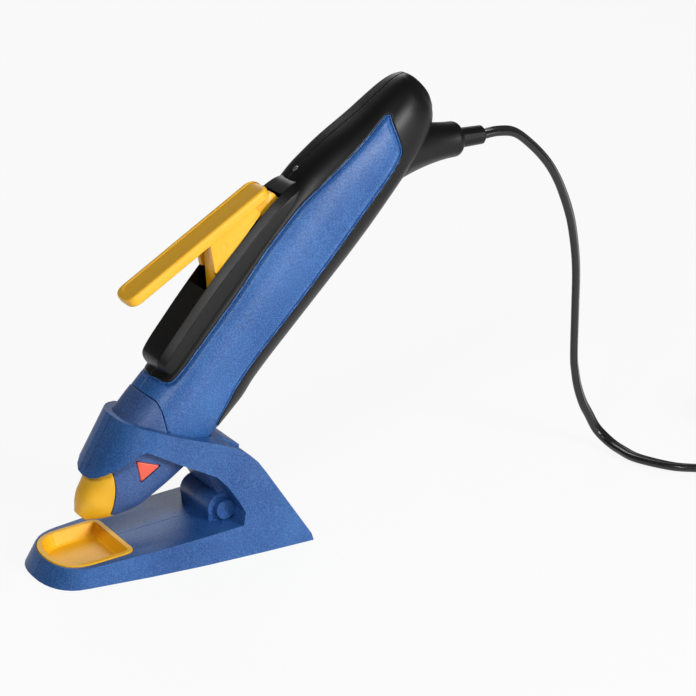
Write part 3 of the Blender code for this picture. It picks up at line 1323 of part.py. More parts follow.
def build_spring(shop):
    """Return spring between the sleeve and the carriage."""
    start = CHAMBER_START + CHAMBER_LENGTH + SLEEVE_LENGTH + SPRING_WIRE_RADIUS + GAP
    end = CARRIAGE_FRONT - SPRING_WIRE_RADIUS - GAP
    per_turn = 10
    count = SPRING_TURNS * per_turn
    points = []
    for index in range(count + 1):
        angle = 2.0 * math.pi * index / per_turn
        points.append((start + (end - start) * index / count, SPRING_RADIUS * math.cos(angle),
                       SPRING_RADIUS * math.sin(angle)))
    tube("return_spring", points, SPRING_WIRE_RADIUS, 1, shop.pen, shop, shop.steel)


# Trim and wiring


def body_top(station):
    """Height of the pen's back at a station."""
    rows = [(share, top) for share, top, bottom, width in BODY_SHARES]
    return PEN_HALF_HEIGHT * lerp(rows, station / PEN_LENGTH)


def lens_solid(name, clearance, shop, finish=None):
    top = body_top(LENS_STATION) + LENS_PROUD
    bottom = top - LENS_HEIGHT - clearance
    radius = LENS_RADIUS + clearance
    rise = OVERRUN if clearance else 0.0
    profile = [(top + rise, 0.0), (top + rise, 0.6 * radius), (top - LENS_PROUD + rise, radius), (bottom, radius),
               (bottom, 0.0)]
    return turned(name, profile, shop.pen, shop, finish, location=(LENS_STATION, 0.0, 0.0), steps=12, along="Z")


def smooth_route(points, step):
    """Points read at an even step from a smooth curve through the given points."""
    padded = [points[0], *points, points[-1]]
    fine = []
    parts = 12
    for a, b, c, d in zip(padded, padded[1:], padded[2:], padded[3:]):
        a, b, c, d = Vector(a), Vector(b), Vector(c), Vector(d)
        for index in range(parts):
            t = index / parts
            fine.append(0.5 * ((2.0 * b) + (c - a) * t + (2.0 * a - 5.0 * b + 4.0 * c - d) * t * t
                               + (3.0 * b - a - 3.0 * c + d) * t ** 3))
    fine.append(Vector(points[-1]))
    total = sum((q - p).length for p, q in zip(fine, fine[1:]))
    count = max(2, round(total / step))
    spacing = total / count
    route = [fine[0]]
    walked = 0.0
    for p, q in zip(fine, fine[1:]):
        length = (q - p).length
        while len(route) < count and walked + length >= spacing * len(route):
            route.append(p.lerp(q, (spacing * len(route) - walked) / length))
        walked += length
    route.append(fine[-1])
    return route


def build_wires(shop):
    """Two heater leads beside the lever slot to the cord clamp."""
    heater_z = CHAMBER_FLAT + HEATER_HEIGHT / 2.0
    start = heater_centre() + HEATER_LENGTH / 2.0 + GAP + WIRE_RADIUS
    aside = LEVER_HALF_WIDTH + 3.0 * WIRE_RADIUS
    above = CHAMBER_RADIUS + 2.0 * WIRE_RADIUS
    clamp_x, clamp_z = clamp_place()
    for name, side in (("heater_wire_left", -1.0), ("heater_wire_right", 1.0)):
        inner = side * WIRE_SPREAD
        outer_y = side * aside
        route = [
            (start, inner, heater_z),
            (start + 3.0 * WIRE_RADIUS, inner, heater_z),
            (start + 9.0 * WIRE_RADIUS, 1.6 * inner, above),
            (0.345 * PEN_LENGTH, outer_y, above),
            (0.500 * PEN_LENGTH, outer_y, above),
            (0.700 * PEN_LENGTH, outer_y, above),
            (0.800 * PEN_LENGTH, outer_y, 0.5 * above),
            (0.845 * PEN_LENGTH, 0.55 * outer_y, -0.6 * above),
            (clamp_x - 5.0 * WIRE_RADIUS, inner, clamp_z + 3.5 * WIRE_RADIUS),
            (clamp_x - WIRE_RADIUS, inner, clamp_z + WIRE_RADIUS / 2.0),
        ]
        tube(name, smooth_route(route, 9.0 * WIRE_RADIUS), WIRE_RADIUS, 1, shop.pen, shop, shop.coral)


def clamp_place():
    """Station and height of the cord clamp in the pen's frame."""
    root_x = SNOUT_END_X + RELIEF_OUT - RELIEF_LENGTH - CLAMP_BAR_LENGTH
    dx = root_x - PEN_TIP_X
    dz = SNOUT_HEIGHT - PEN_TIP_HEIGHT
    return (dx * math.cos(PEN_ANGLE) + dz * math.sin(PEN_ANGLE),
            dz * math.cos(PEN_ANGLE) - dx * math.sin(PEN_ANGLE))


def build_strain_relief(shop):
    relief = turned("strain_relief", relief_profile(0.0), shop.desk, shop, shop.black,
                    location=(0.0, 0.0, SNOUT_HEIGHT))
    soften(relief)


def build_cord_clamp(shop):
    """Bar that grips the cord just inside the strain relief."""
    rear = SNOUT_END_X + RELIEF_OUT - RELIEF_LENGTH - GAP
    front = rear - CLAMP_BAR_LENGTH
    half = CLAMP_BAR_HALF_WIDTH
    clamp = place(box_mesh("cord_clamp", (front, -half, SNOUT_HEIGHT - CLAMP_BAR_HEIGHT / 2.0),
                           (rear, half, SNOUT_HEIGHT + CLAMP_BAR_HEIGHT / 2.0)),
                  "cord_clamp", shop.desk, shop, shop.black)
    bevel(clamp, LEVER_EDGE / 2.0, segments=1)


# Cord, coil and plug


def coil_points():
    """Spiral in on the desk, climb where the spiral turns back, spiral out on top and run off level."""
    turns = COIL_LAYERS * COIL_TURNS_PER_LAYER
    count = round(turns * COIL_POINTS_PER_TURN)
    layer_rise = 2.0 * CORD_RADIUS + 2.0 * GAP
    ground = CORD_RADIUS + GAP / 3.0
    points = []
    for index in range(count + 1):
        turn = turns * index / count
        from_reversal = turn - COIL_TURNS_PER_LAYER
        radius = COIL_OUTER_RADIUS - COIL_PITCH * (COIL_TURNS_PER_LAYER - abs(from_reversal))
        climb = min(1.0, max(0.0, 2.0 * from_reversal + 0.5))
        angle = COIL_START_ANGLE + 2.0 * math.pi * turn
        points.append((COIL_CENTRE[0] + radius * math.cos(angle), COIL_CENTRE[1] + radius * math.sin(angle),
                       ground + layer_rise * climb))
    end = Vector(points[-1])
    away = (end - Vector(points[-2])).normalized()
    steps = 5
    for index in range(1, steps + 1):
        share = index / steps
        sink = (end.z - PLUG_HALF_HEIGHT - GAP) * (3.0 * share ** 2 - 2.0 * share ** 3)
        points.append(tuple(end + away * (COIL_TAIL * share) - Vector((0.0, 0.0, sink))))
    return points


def least_self_gap(points, diameter, skip):
    """Least distance between the surfaces of turns that aren't neighbours along the tube."""
    least = math.inf
    for index, point in enumerate(points):
        for other in points[index + skip:]:
            least = min(least, (Vector(point) - Vector(other)).length - diameter)
    return least


def build_cord(shop):
    """Free stretch, coil and plug, end to end."""
    diameter = 2.0 * CORD_RADIUS
    relief_end = SNOUT_END_X + RELIEF_OUT + GAP
    coil = coil_points()
    first = Vector(coil[0])
    along = (Vector(coil[0]) - Vector(coil[1])).normalized()
    coil_start = first + along * diameter
    route = [(relief_end, 0.0, SNOUT_HEIGHT), *CORD_ROUTE, tuple(coil_start + along * (diameter + GAP)),
             tuple(coil_start + along * GAP)]
    tube("cord", smooth_route(route, CORD_STEP), CORD_RADIUS, 2, shop.desk, shop, shop.cord)
    last = Vector(coil[-1])
    away = last - Vector(coil[-2])
    away = Vector((away.x, away.y, 0.0)).normalized()
    coil_end = last + away * diameter
    tube("cord_coil", [tuple(coil_start), *coil, tuple(coil_end)], CORD_RADIUS, 1, shop.desk, shop, shop.cord)
    gap = least_self_gap(coil, diameter, COIL_POINTS_PER_TURN // 2)
    print(f"coil: least gap to itself {gap * 1000.0:.2f} mm")
    build_plug(shop, coil_end, away)


def build_plug(shop, cord_end, heading):
    """Flat two-pin plug that lies on the coil's end of the cord."""
    turn = math.atan2(heading.y, heading.x)
    frame = bpy.data.objects.new("plug_frame", None)
    bpy.context.scene.collection.objects.link(frame)
    frame.parent = shop.desk
    frame.location = cord_end
    frame.rotation_euler = (0.0, 0.0, turn)
    bpy.context.view_layer.update()
    rings = []
    for share, width_share in ((0.0, 0.0), (0.18, 0.08), (0.36, 0.35), (0.55, 0.80), (0.70, 1.0), (1.0, 0.95)):
        width = PLUG_NECK_HALF_WIDTH + (PLUG_HALF_WIDTH - PLUG_NECK_HALF_WIDTH) * width_share
        rings.append(section_ring(GAP + share * PLUG_LENGTH, PLUG_HALF_HEIGHT, -PLUG_HALF_HEIGHT, width, 4.0, 0.0, 28))
    body = place(loft_mesh("plug", rings), "plug", frame, shop, shop.black)
    face = GAP + PLUG_LENGTH
    for name, side in (("plug_pin_left", -1.0), ("plug_pin_right", 1.0)):
        socket = turned(name + "_socket", [(face + OVERRUN, 0.0), (face + OVERRUN, PLUG_PIN_RADIUS + GAP),
                                           (face - PLUG_PIN_ROOT - GAP, PLUG_PIN_RADIUS + GAP),
                                           (face - PLUG_PIN_ROOT - GAP, 0.0)], frame, shop,
                        location=(0.0, side * PLUG_PIN_SPREAD, 0.0), steps=12)
        combine(body, socket, "DIFFERENCE")
        tip = face + PLUG_PIN_LENGTH
        pin = turned(name, [(tip, 0.0), (tip, 0.5 * PLUG_PIN_RADIUS), (tip - PLUG_PIN_RADIUS, PLUG_PIN_RADIUS),
                            (face - PLUG_PIN_ROOT, PLUG_PIN_RADIUS), (face - PLUG_PIN_ROOT, 0.0)], frame, shop,
                     shop.brass, location=(0.0, side * PLUG_PIN_SPREAD, 0.0), steps=12)
        soften(pin)
    bake(body)
    soften(body)


def build_pen_screws(shop):
    for number, (x, z) in enumerate(pen_screw_places(), 1):
        screw = turned(f"housing_screw_{number}", screw_profile(), shop.pen, shop, shop.steel,
                       location=(x, pen_screw_seat(), z), steps=12, along="Y")
        soften(screw)


def main():
    for item in list(bpy.data.objects):
        bpy.data.objects.remove(item)
    shop = Workshop()
    build_stand(shop)
    build_stand_screws(shop)
    build_tray(shop)
    build_housing(shop)
    build_pen_screws(shop)
    build_nozzle(shop)
    build_chamber(shop)
    build_channel(shop)
    build_lever(shop)
    build_link(shop)
    build_pins(shop)
    build_carriage(shop)
    build_spring(shop)
    lens_lid = lens_solid("indicator_lens", 0.0, shop, shop.coral)
    soften(lens_lid)
    build_wires(shop)
    build_cord_clamp(shop)
    build_strain_relief(shop)
    build_cord(shop)


main()
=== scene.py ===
"""Looks of a hot glue pen parked in its desk stand: finishes, smooth shells, mains cord and studio.

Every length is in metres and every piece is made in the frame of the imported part. Shapes of the pen
are worked out in the pen's own frame (station along the glue stick, side, height towards the lever)
and then turned into place.
"""

import logging
import math
from dataclasses import dataclass, field
from enum import Enum
from typing import Sequence

import bmesh
import bpy
import numpy as np
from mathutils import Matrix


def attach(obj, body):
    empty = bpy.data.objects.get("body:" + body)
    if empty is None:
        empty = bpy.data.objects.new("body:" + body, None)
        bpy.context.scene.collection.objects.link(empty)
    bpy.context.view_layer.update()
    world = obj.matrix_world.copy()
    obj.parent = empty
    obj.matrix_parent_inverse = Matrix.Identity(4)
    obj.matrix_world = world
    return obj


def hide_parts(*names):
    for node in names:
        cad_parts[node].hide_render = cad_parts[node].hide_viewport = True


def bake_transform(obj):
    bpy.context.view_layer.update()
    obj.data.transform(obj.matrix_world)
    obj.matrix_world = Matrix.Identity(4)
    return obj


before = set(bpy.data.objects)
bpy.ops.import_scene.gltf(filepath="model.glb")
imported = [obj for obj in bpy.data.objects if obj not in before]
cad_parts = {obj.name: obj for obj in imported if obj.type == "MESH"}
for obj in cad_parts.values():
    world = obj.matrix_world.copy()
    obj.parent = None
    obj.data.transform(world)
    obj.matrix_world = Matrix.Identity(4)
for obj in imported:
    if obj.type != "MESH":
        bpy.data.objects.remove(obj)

LOG = logging.getLogger("glue_pen")
MM = 0.001
HALF_TURN = math.pi / 2.0
FULL_TURN = 2.0 * math.pi
WELD = 2e-6
SHELL_SHARP = 50.0
SIDES = (("left", -1.0), ("right", 1.0))
UPWARDS = np.array([0.0, 0.0, 1.0])
Table = Sequence[Sequence[float]]
Triple = tuple[float, float, float]
Piece = bpy.types.Object
Tree = bpy.types.NodeTree
Socket = bpy.types.NodeSocket


# Numbers on curves.


def table_value(table: Table, where: np.ndarray, column: int = 1) -> np.ndarray:
    """Smooth reading of a table: cubic pieces whose slopes never overshoot the rows.

    Args:
        table: rows in rising order of their first number.
        where: places at which to read.
        column: column that holds the value.

    Returns:
        The values, in the shape of where.
    """
    rows = np.asarray(table, float)
    x, y = rows[:, 0], rows[:, column]
    step = np.diff(x)
    rise = np.diff(y) / step
    slope = np.zeros_like(y)
    slope[0], slope[-1] = rise[0], rise[-1]
    left, right = rise[:-1], rise[1:]
    same = left * right > 0.0
    weight_left, weight_right = 2.0 * step[1:] + step[:-1], step[1:] + 2.0 * step[:-1]
    inner = np.zeros_like(left)
    inner[same] = ((weight_left + weight_right)[same]
                   / (weight_left[same] / left[same] + weight_right[same] / right[same]))
    slope[1:-1] = inner
    place = np.clip(np.asarray(where, float), x[0], x[-1])
    index = np.clip(np.searchsorted(x, place) - 1, 0, len(x) - 2)
    span = step[index]
    share = (place - x[index]) / span
    square, cube = share ** 2, share ** 3
    return ((2 * cube - 3 * square + 1) * y[index] + (cube - 2 * square + share) * span * slope[index]
            + (3 * square - 2 * cube) * y[index + 1] + (cube - square) * span * slope[index + 1])


def smooth_step(value: np.ndarray, low: float, high: float) -> np.ndarray:
    """Rise from nought to one, level at both ends.

    Args:
        value: places at which to read.
        low: where the rise starts.
        high: where it ends.

    Returns:
        Three times the square of the share walked, less twice its cube.
    """
    share = np.clip((value - low) / (high - low), 0.0, 1.0)
    return share * share * (3.0 - 2.0 * share)


def stations(*parts: tuple[float, float, int]) -> np.ndarray:
    """Rising numbers made of even runs, each given as (start, end, steps)."""
    runs = [np.linspace(start, end, steps, endpoint=False) for start, end, steps in parts]
    return np.concatenate([*runs, [parts[-1][1]]])


def unit(vectors: np.ndarray) -> np.ndarray:
    """Vectors over their own length, which is kept from nought."""
    return vectors / np.maximum(np.linalg.norm(vectors, axis=-1, keepdims=True), 1e-12)


def walked_lengths(line: np.ndarray) -> np.ndarray:
    """Way walked along a line up to each of its points."""
    return np.concatenate([[0.0], np.cumsum(np.linalg.norm(np.diff(line, axis=0), axis=1))])


def through_points(points: Sequence[Sequence[float]], step: float) -> np.ndarray:
    """Evenly spaced points on a smooth curve through the given ones.

    Each span is the cubic whose slope at a point is half the way between its two neighbours.

    Args:
        points: the given points.
        step: wanted distance between points.

    Returns:
        The points of the curve.
    """
    knots = np.asarray(points, float)
    knots = np.vstack([knots[:1], knots, knots[-1:]])
    share = np.linspace(0.0, 1.0, 24, endpoint=False)[None, :, None]
    a, b, c, d = (knots[k:len(knots) - 3 + k, None, :] for k in range(4))
    fine = 0.5 * (2 * b + (c - a) * share + (2 * a - 5 * b + 4 * c - d) * share ** 2
                  + (3 * b - a - 3 * c + d) * share ** 3)
    fine = np.vstack([fine.reshape(-1, 3), knots[-1:]])
    walked = walked_lengths(fine)
    wanted = np.linspace(0.0, walked[-1], max(2, round(walked[-1] / step)) + 1)
    return np.stack([np.interp(wanted, walked, fine[:, axis]) for axis in range(3)], -1)


def surface_normals(grid: np.ndarray, inside: np.ndarray) -> np.ndarray:
    """Unit normals of a grid of points, turned away from the points in inside."""
    along, across = np.gradient(grid, axis=0), np.gradient(grid, axis=1)
    normal = unit(np.cross(across, along))
    facing = np.sign(np.sum(normal * (grid - inside), axis=-1, keepdims=True))
    return normal * np.where(facing == 0.0, 1.0, facing)


# Meshes.


def quads(rows: int, columns: int, start: int = 0, closed: bool = False) -> np.ndarray:
    """Corner numbers of the faces of a grid whose points are stored row by row.

    Args:
        rows: number of rows of points.
        columns: number of points in a row.
        start: number of the first point.
        closed: whether the last column meets the first.

    Returns:
        An array of four corner numbers a face.
    """
    width = columns if closed else columns - 1
    row, column = np.meshgrid(np.arange(rows - 1), np.arange(width), indexing="ij")
    after = (column + 1) % columns
    corners = [row * columns + column, row * columns + after, (row + 1) * columns + after,
               (row + 1) * columns + column]
    return np.stack(corners, -1).reshape(-1, 4) + start


def make_object(name: str, points: np.ndarray, faces: list, sharp: float = 40.0) -> Piece:
    """Object with a welded, outward facing, smoothly shaded mesh.

    Args:
        name: name of the piece.
        points: its points, in the frame of the part.
        faces: lists of corner numbers.
        sharp: angle in degrees above which an edge stays crisp.

    Returns:
        The new object, which stands at the origin.
    """
    mesh = bpy.data.meshes.new(name)
    mesh.from_pydata(points.reshape(-1, 3).tolist(), [], faces)
    work = bmesh.new()
    work.from_mesh(mesh)
    bmesh.ops.remove_doubles(work, verts=work.verts, dist=WELD)
    bmesh.ops.recalc_face_normals(work, faces=work.faces)
    work.to_mesh(mesh)
    work.free()
    piece = bpy.data.objects.new(name, mesh)
    bpy.context.scene.collection.objects.link(piece)
    shade(piece, sharp)
    return piece


def shade(piece: Piece, sharp: float = 40.0) -> None:
    """Smooth shading that keeps edges above an angle in degrees."""
    piece.data.shade_smooth()
    piece.data.set_sharp_from_angle(angle=math.radians(sharp))


def thick_patch(name: str, outer: np.ndarray, inner: np.ndarray, sharp: float = 40.0) -> Piece:
    """Closed shell between two grids of the same size, joined all round their borders.

    Args:
        name: name of the piece.
        outer: grid of its outer points.
        inner: grid of its inner points.
        sharp: angle in degrees above which an edge stays crisp.

    Returns:
        The new object.
    """
    rows, columns = outer.shape[:2]
    count = rows * columns
    top, bottom = quads(rows, columns), quads(rows, columns, count)[:, ::-1]
    number = np.arange(count).reshape(rows, columns)
    loop = np.concatenate([number[0, :-1], number[:-1, -1], number[-1, :0:-1], number[:0:-1, 0]])
    after = np.roll(loop, -1)
    wall = np.stack([loop, after, after + count, loop + count], -1)
    faces = np.vstack([top, bottom, wall]).tolist()
    return make_object(name, np.vstack([outer.reshape(-1, 3), inner.reshape(-1, 3)]), faces, sharp)


def thick_tube(name: str, outer: np.ndarray, inner: np.ndarray, sharp: float = 40.0) -> Piece:
    """Closed sleeve between two grids whose last column meets the first."""
    rows, columns = outer.shape[:2]
    count = rows * columns
    top, bottom = quads(rows, columns, closed=True), quads(rows, columns, count, True)[:, ::-1]
    number = np.arange(columns)
    ends = []
    for first in (0, (rows - 1) * columns):
        near, after = number + first, np.roll(number, -1) + first
        ends.append(np.stack([near, after, after + count, near + count], -1))
    faces = np.vstack([top, bottom, *ends]).tolist()
    return make_object(name, np.vstack([outer.reshape(-1, 3), inner.reshape(-1, 3)]), faces, sharp)


def ring_loft(name: str, rings: np.ndarray, sharp: float = 40.0) -> Piece:
    """Closed solid through rings of points, with a fan to the middle of each end."""
    rows, columns = rings.shape[:2]
    count = rows * columns
    faces = quads(rows, columns, closed=True).tolist()
    number = np.arange(columns)
    after = np.roll(number, -1)
    last = (rows - 1) * columns
    faces += np.stack([after, number, np.full(columns, count)], -1).tolist()
    faces += np.stack([number + last, after + last, np.full(columns, count + 1)], -1).tolist()
    middles = np.stack([rings[0].mean(0), rings[-1].mean(0)])
    return make_object(name, np.vstack([rings.reshape(-1, 3), middles]), faces, sharp)


def turned_rings(profile: Table, centre: Sequence[float], along: Sequence[float],
                 steps: int = 64) -> np.ndarray:
    """Rings of a turned form.

    Args:
        profile: rows of (station, radius) on the axis.
        centre: where the axis starts.
        along: its direction, which is not the Y axis.
        steps: number of points in a ring.

    Returns:
        One ring of points for each row.
    """
    axis = unit(np.asarray(along, float))
    side = unit(np.cross(axis, (0.0, 1.0, 0.0)))
    other = np.cross(axis, side)
    rows = np.asarray(profile, float)
    angle = np.linspace(0.0, FULL_TURN, steps, endpoint=False)
    spoke = np.cos(angle)[:, None] * side + np.sin(angle)[:, None] * other
    station, radius = rows[:, 0][:, None, None], rows[:, 1][:, None, None]
    return np.asarray(centre) + station * axis + radius * spoke


def rounded_polygon(corners: Table, radii: Sequence[float], arc_points: int = 6) -> np.ndarray:
    """Closed outline of straight sides with rounded corners.

    Each rounding starts and ends where a circle of its radius touches both sides of the corner. It
    is a weighted quadratic curve, a little flatter than that circle.

    Args:
        corners: the corners, in order.
        radii: radius of each corner.
        arc_points: number of points in a rounding.

    Returns:
        The points of the outline.
    """
    points = np.asarray(corners, float)
    before, after = np.roll(points, 1, axis=0), np.roll(points, -1, axis=0)
    back, ahead = unit(before - points), unit(after - points)
    half = 0.5 * np.arccos(np.clip(np.sum(back * ahead, axis=1), -1.0, 1.0))
    reach = np.asarray(radii, float) / np.tan(half)
    share = np.linspace(0.0, 1.0, arc_points)[None, :, None]
    start = (points + back * reach[:, None])[:, None, :]
    end = (points + ahead * reach[:, None])[:, None, :]
    middle = points[:, None, :]
    weight = 2.0 * share * (1.0 - share) / (1.0 + np.cos(half))[:, None, None]
    total = (1.0 - share) ** 2 + weight + share ** 2
    curve = ((1.0 - share) ** 2 * start + weight * middle + share ** 2 * end) / total
    return curve.reshape(-1, 2)


def cut(piece: Piece, tools: Sequence[Piece], operation: str = "DIFFERENCE",
        sharp: float = 32.0) -> Piece:
    """Take tools out of a piece, or join them to it, and drop the tools."""
    for tool in tools:
        step = piece.modifiers.new(tool.name, "BOOLEAN")
        step.operation = operation
        step.solver = "MANIFOLD"
        step.object = tool
    graph = bpy.context.evaluated_depsgraph_get()
    mesh = bpy.data.meshes.new_from_object(piece.evaluated_get(graph))
    piece.modifiers.clear()
    piece.data = mesh
    for tool in tools:
        bpy.data.objects.remove(tool)
    shade(piece, sharp)
    return piece


# Finishes.


class Pattern(Enum):
    """How the fine texture of a moulded surface is laid."""

    GRAIN = "grain"
    SATIN = "satin"
    BRUSHED = "brushed"


def link(tree: Tree, source: Socket, target: Socket) -> None:
    """Join two sockets."""
    tree.links.new(source, target)


def noise(tree: Tree, where: Socket, scale: float, detail: float) -> Socket:
    """Noise texture on the object's own coordinates.

    Args:
        tree: node tree of the material.
        where: coordinates.
        scale: waves in a metre.
        detail: number of finer layers.

    Returns:
        The socket of its value.
    """
    node = tree.nodes.new("ShaderNodeTexNoise")
    node.inputs["Scale"].default_value = scale
    node.inputs["Detail"].default_value = detail
    link(tree, where, node.inputs["Vector"])
    return node.outputs["Fac"]


def colours(tree: Tree, share: Socket, dark: Triple, light: Triple) -> Socket:
    """Mix of a dark and a light colour by a share."""
    node = tree.nodes.new("ShaderNodeMix")
    node.data_type = "RGBA"
    node.inputs["A"].default_value = (*dark, 1.0)
    node.inputs["B"].default_value = (*light, 1.0)
    link(tree, share, node.inputs["Factor"])
    return node.outputs["Result"]


def stretched(tree: Tree, where: Socket, scale: Triple) -> Socket:
    """Coordinates scaled along each axis."""
    node = tree.nodes.new("ShaderNodeMapping")
    node.inputs["Scale"].default_value = scale
    link(tree, where, node.inputs["Vector"])
    return node.outputs["Vector"]


def bumped(tree: Tree, height: Socket, depth: float) -> Socket:
    """Normal of a relief of the given depth."""
    node = tree.nodes.new("ShaderNodeBump")
    node.inputs["Distance"].default_value = depth
    link(tree, height, node.inputs["Height"])
    return node.outputs["Normal"]


def spread(tree: Tree, value: Socket, low: float, high: float,
           to_low: float, to_high: float) -> Socket:
    """Map a value's range to another range."""
    node = tree.nodes.new("ShaderNodeMapRange")
    for name, number in (("From Min", low), ("From Max", high), ("To Min", to_low), ("To Max", to_high)):
        node.inputs[name].default_value = number
    link(tree, value, node.inputs["Value"])
    return node.outputs["Result"]


@dataclass(frozen=True)
class Finish:
    """Named material that is built when the first piece asks for it."""

    name: str
    colour: Triple

    def material(self) -> bpy.types.Material:
        """Build the material, or hand back the one already built."""
        made = bpy.data.materials.get(self.name)
        if made is None:
            made = bpy.data.materials.new(self.name)
            made.use_nodes = True
            made.diffuse_color = (*self.colour, 1.0)
            tree = made.node_tree
            where = tree.nodes.new("ShaderNodeTexCoord").outputs["Object"]
            self.fill(tree, tree.nodes["Principled BSDF"].inputs, where)
        return made


@dataclass(frozen=True)
class Moulded(Finish):
    """Moulded plastic or rubber: mottled colour, fine moulded texture and uneven gloss."""

    dusk: Triple
    roughness: float
    grain_size: float = 0.45 * MM
    grain_depth: float = 0.018 * MM
    pattern: Pattern = Pattern.GRAIN
    coat: float = 0.0
    level: float = 0.5

    def fill(self, tree: Tree, inputs: bpy.types.bpy_prop_collection, where: Socket) -> None:
        """Set the shader's inputs: clouds and specks of the dusk colour, relief and gloss.

        Args:
            tree: node tree of the material.
            inputs: inputs of its shader.
            where: the object's own coordinates.
        """
        inputs["Specular IOR Level"].default_value = self.level
        inputs["Coat Weight"].default_value = self.coat
        inputs["Coat Roughness"].default_value = 0.12
        cloud = noise(tree, where, 1.0 / (60.0 * self.grain_size), 3.0)
        speck = noise(tree, where, 1.0 / self.grain_size, 2.0)
        mixed = tree.nodes.new("ShaderNodeMath")
        mixed.operation = "ADD"
        link(tree, spread(tree, cloud, 0.3, 0.7, 0.0, 0.45), mixed.inputs[0])
        link(tree, spread(tree, speck, 0.42, 0.62, 0.0, 0.55), mixed.inputs[1])
        link(tree, colours(tree, mixed.outputs[0], self.dusk, self.colour), inputs["Base Color"])
        rough = spread(tree, cloud, 0.25, 0.75, self.roughness - 0.04, self.roughness + 0.05)
        link(tree, rough, inputs["Roughness"])
        link(tree, bumped(tree, self.relief(tree, where), self.grain_depth), inputs["Normal"])

    def relief(self, tree: Tree, where: Socket) -> Socket:
        """Height of the fine texture."""
        if self.pattern is Pattern.GRAIN:
            cells = tree.nodes.new("ShaderNodeTexVoronoi")
            cells.inputs["Scale"].default_value = 0.8 / self.grain_size
            link(tree, where, cells.inputs["Vector"])
            return cells.outputs["Distance"]
        if self.pattern is Pattern.BRUSHED:
            where = stretched(tree, where, (1.0, 1.0, 12.0))
        return noise(tree, where, 1.0 / self.grain_size, 4.0)


@dataclass(frozen=True)
class Metal(Finish):
    """Bare metal with fine turning or rolling marks and slight tarnish."""

    roughness: float
    mark_size: float = 0.25 * MM
    stretch: Triple = (1.0, 1.0, 8.0)
    mark_depth: float = 0.006 * MM
    tarnish: float = 0.62

    def fill(self, tree: Tree, inputs: bpy.types.bpy_prop_collection, where: Socket) -> None:
        """Set the shader's inputs: tarnish in clouds, marks in gloss and relief.

        Args:
            tree: node tree of the material.
            inputs: inputs of its shader.
            where: the object's own coordinates.
        """
        inputs["Metallic"].default_value = 1.0
        marks = noise(tree, stretched(tree, where, self.stretch), 1.0 / self.mark_size, 4.0)
        cloud = noise(tree, where, 1.0 / (20.0 * self.mark_size), 3.0)
        dark = tuple(self.tarnish * part for part in self.colour)
        shares = spread(tree, cloud, 0.3, 0.6, 0.2, 1.0)
        link(tree, colours(tree, shares, dark, self.colour), inputs["Base Color"])
        rough = spread(tree, marks, 0.2, 0.8, self.roughness - 0.08, self.roughness + 0.1)
        link(tree, rough, inputs["Roughness"])
        link(tree, bumped(tree, marks, self.mark_depth), inputs["Normal"])


@dataclass(frozen=True)
class Clear(Finish):
    """Clear plastic with a faint tint and bubbles."""

    bubble: float = 0.6 * MM

    def fill(self, tree: Tree, inputs: bpy.types.bpy_prop_collection, where: Socket) -> None:
        """Set the shader's inputs: light goes through, and the tint varies with the bubbles.

        Args:
            tree: node tree of the material.
            inputs: inputs of its shader.
            where: the object's own coordinates.
        """
        inputs["Transmission Weight"].default_value = 0.6
        inputs["Roughness"].default_value = 0.08
        bubbles = noise(tree, where, 1.0 / self.bubble, 2.0)
        dark = tuple(0.8 * part for part in self.colour)
        link(tree, colours(tree, bubbles, dark, self.colour), inputs["Base Color"])


BLUE = Moulded("blue_grained_plastic", (0.050, 0.178, 0.47), (0.005, 0.056, 0.23), 0.46,
               0.55 * MM, 0.04 * MM)
STAND_BLUE = Moulded("blue_stand_plastic", (0.043, 0.160, 0.43), (0.004, 0.048, 0.21), 0.44,
                     0.55 * MM, 0.04 * MM)
COVER_BLUE = Moulded("blue_cover_plastic", (0.078, 0.150, 0.36), (0.012, 0.052, 0.19), 0.50,
                     0.55 * MM, 0.04 * MM)
YELLOW = Moulded("yellow_plastic", (1.0, 0.66, 0.010), (0.96, 0.57, 0.008), 0.42, 0.7 * MM, 0.006 * MM,
                 Pattern.SATIN)
# Painted shade: a darker copy of the yellow plastic that stands in for the shadow on the drip tray and on
# the link behind the lever.
SHADED_YELLOW = Moulded("yellow_plastic_painted_shade", (0.98, 0.55, 0.012), (0.92, 0.47, 0.010), 0.44,
                      0.7 * MM, 0.006 * MM, Pattern.SATIN)
RUBBER = Moulded("black_grip_rubber", (0.0042, 0.0041, 0.0040), (0.0020, 0.0020, 0.0021), 0.40,
                 0.5 * MM, 0.014 * MM, level=0.32)
BLACK = Moulded("black_moulded_plastic", (0.012, 0.012, 0.013), (0.008, 0.008, 0.009), 0.42,
                0.6 * MM, 0.006 * MM, Pattern.SATIN)
CORAL = Moulded("coral_plastic", (0.90, 0.13, 0.085), (0.80, 0.10, 0.065), 0.45, 0.5 * MM, 0.008 * MM,
                Pattern.SATIN)
JACKET = Moulded("cord_jacket", (0.009, 0.009, 0.010), (0.006, 0.006, 0.0065), 0.24, 0.8 * MM, 0.004 * MM,
                 Pattern.SATIN, coat=0.35)
SILICONE = Moulded("milky_silicone", (0.55, 0.50, 0.42), (0.45, 0.41, 0.35), 0.55, 0.8 * MM, 0.004 * MM,
                   Pattern.SATIN)
CERAMIC = Moulded("unglazed_ceramic", (0.80, 0.78, 0.72), (0.66, 0.64, 0.58), 0.75, 0.2 * MM, 0.010 * MM)
SLEEVE_RED = Moulded("woven_wire_sleeve", (0.60, 0.09, 0.06), (0.42, 0.06, 0.04), 0.65, 0.3 * MM, 0.03 * MM,
                     Pattern.BRUSHED)
LENS = Clear("smoky_lens", (0.35, 0.35, 0.36))
BRASS = Metal("turned_brass", (0.62, 0.43, 0.16), 0.28)
STEEL = Metal("plated_steel", (0.52, 0.52, 0.53), 0.30)
ALUMINIUM = Metal("cast_aluminium", (0.60, 0.61, 0.62), 0.42, 0.4 * MM, (1.0, 1.0, 1.0))


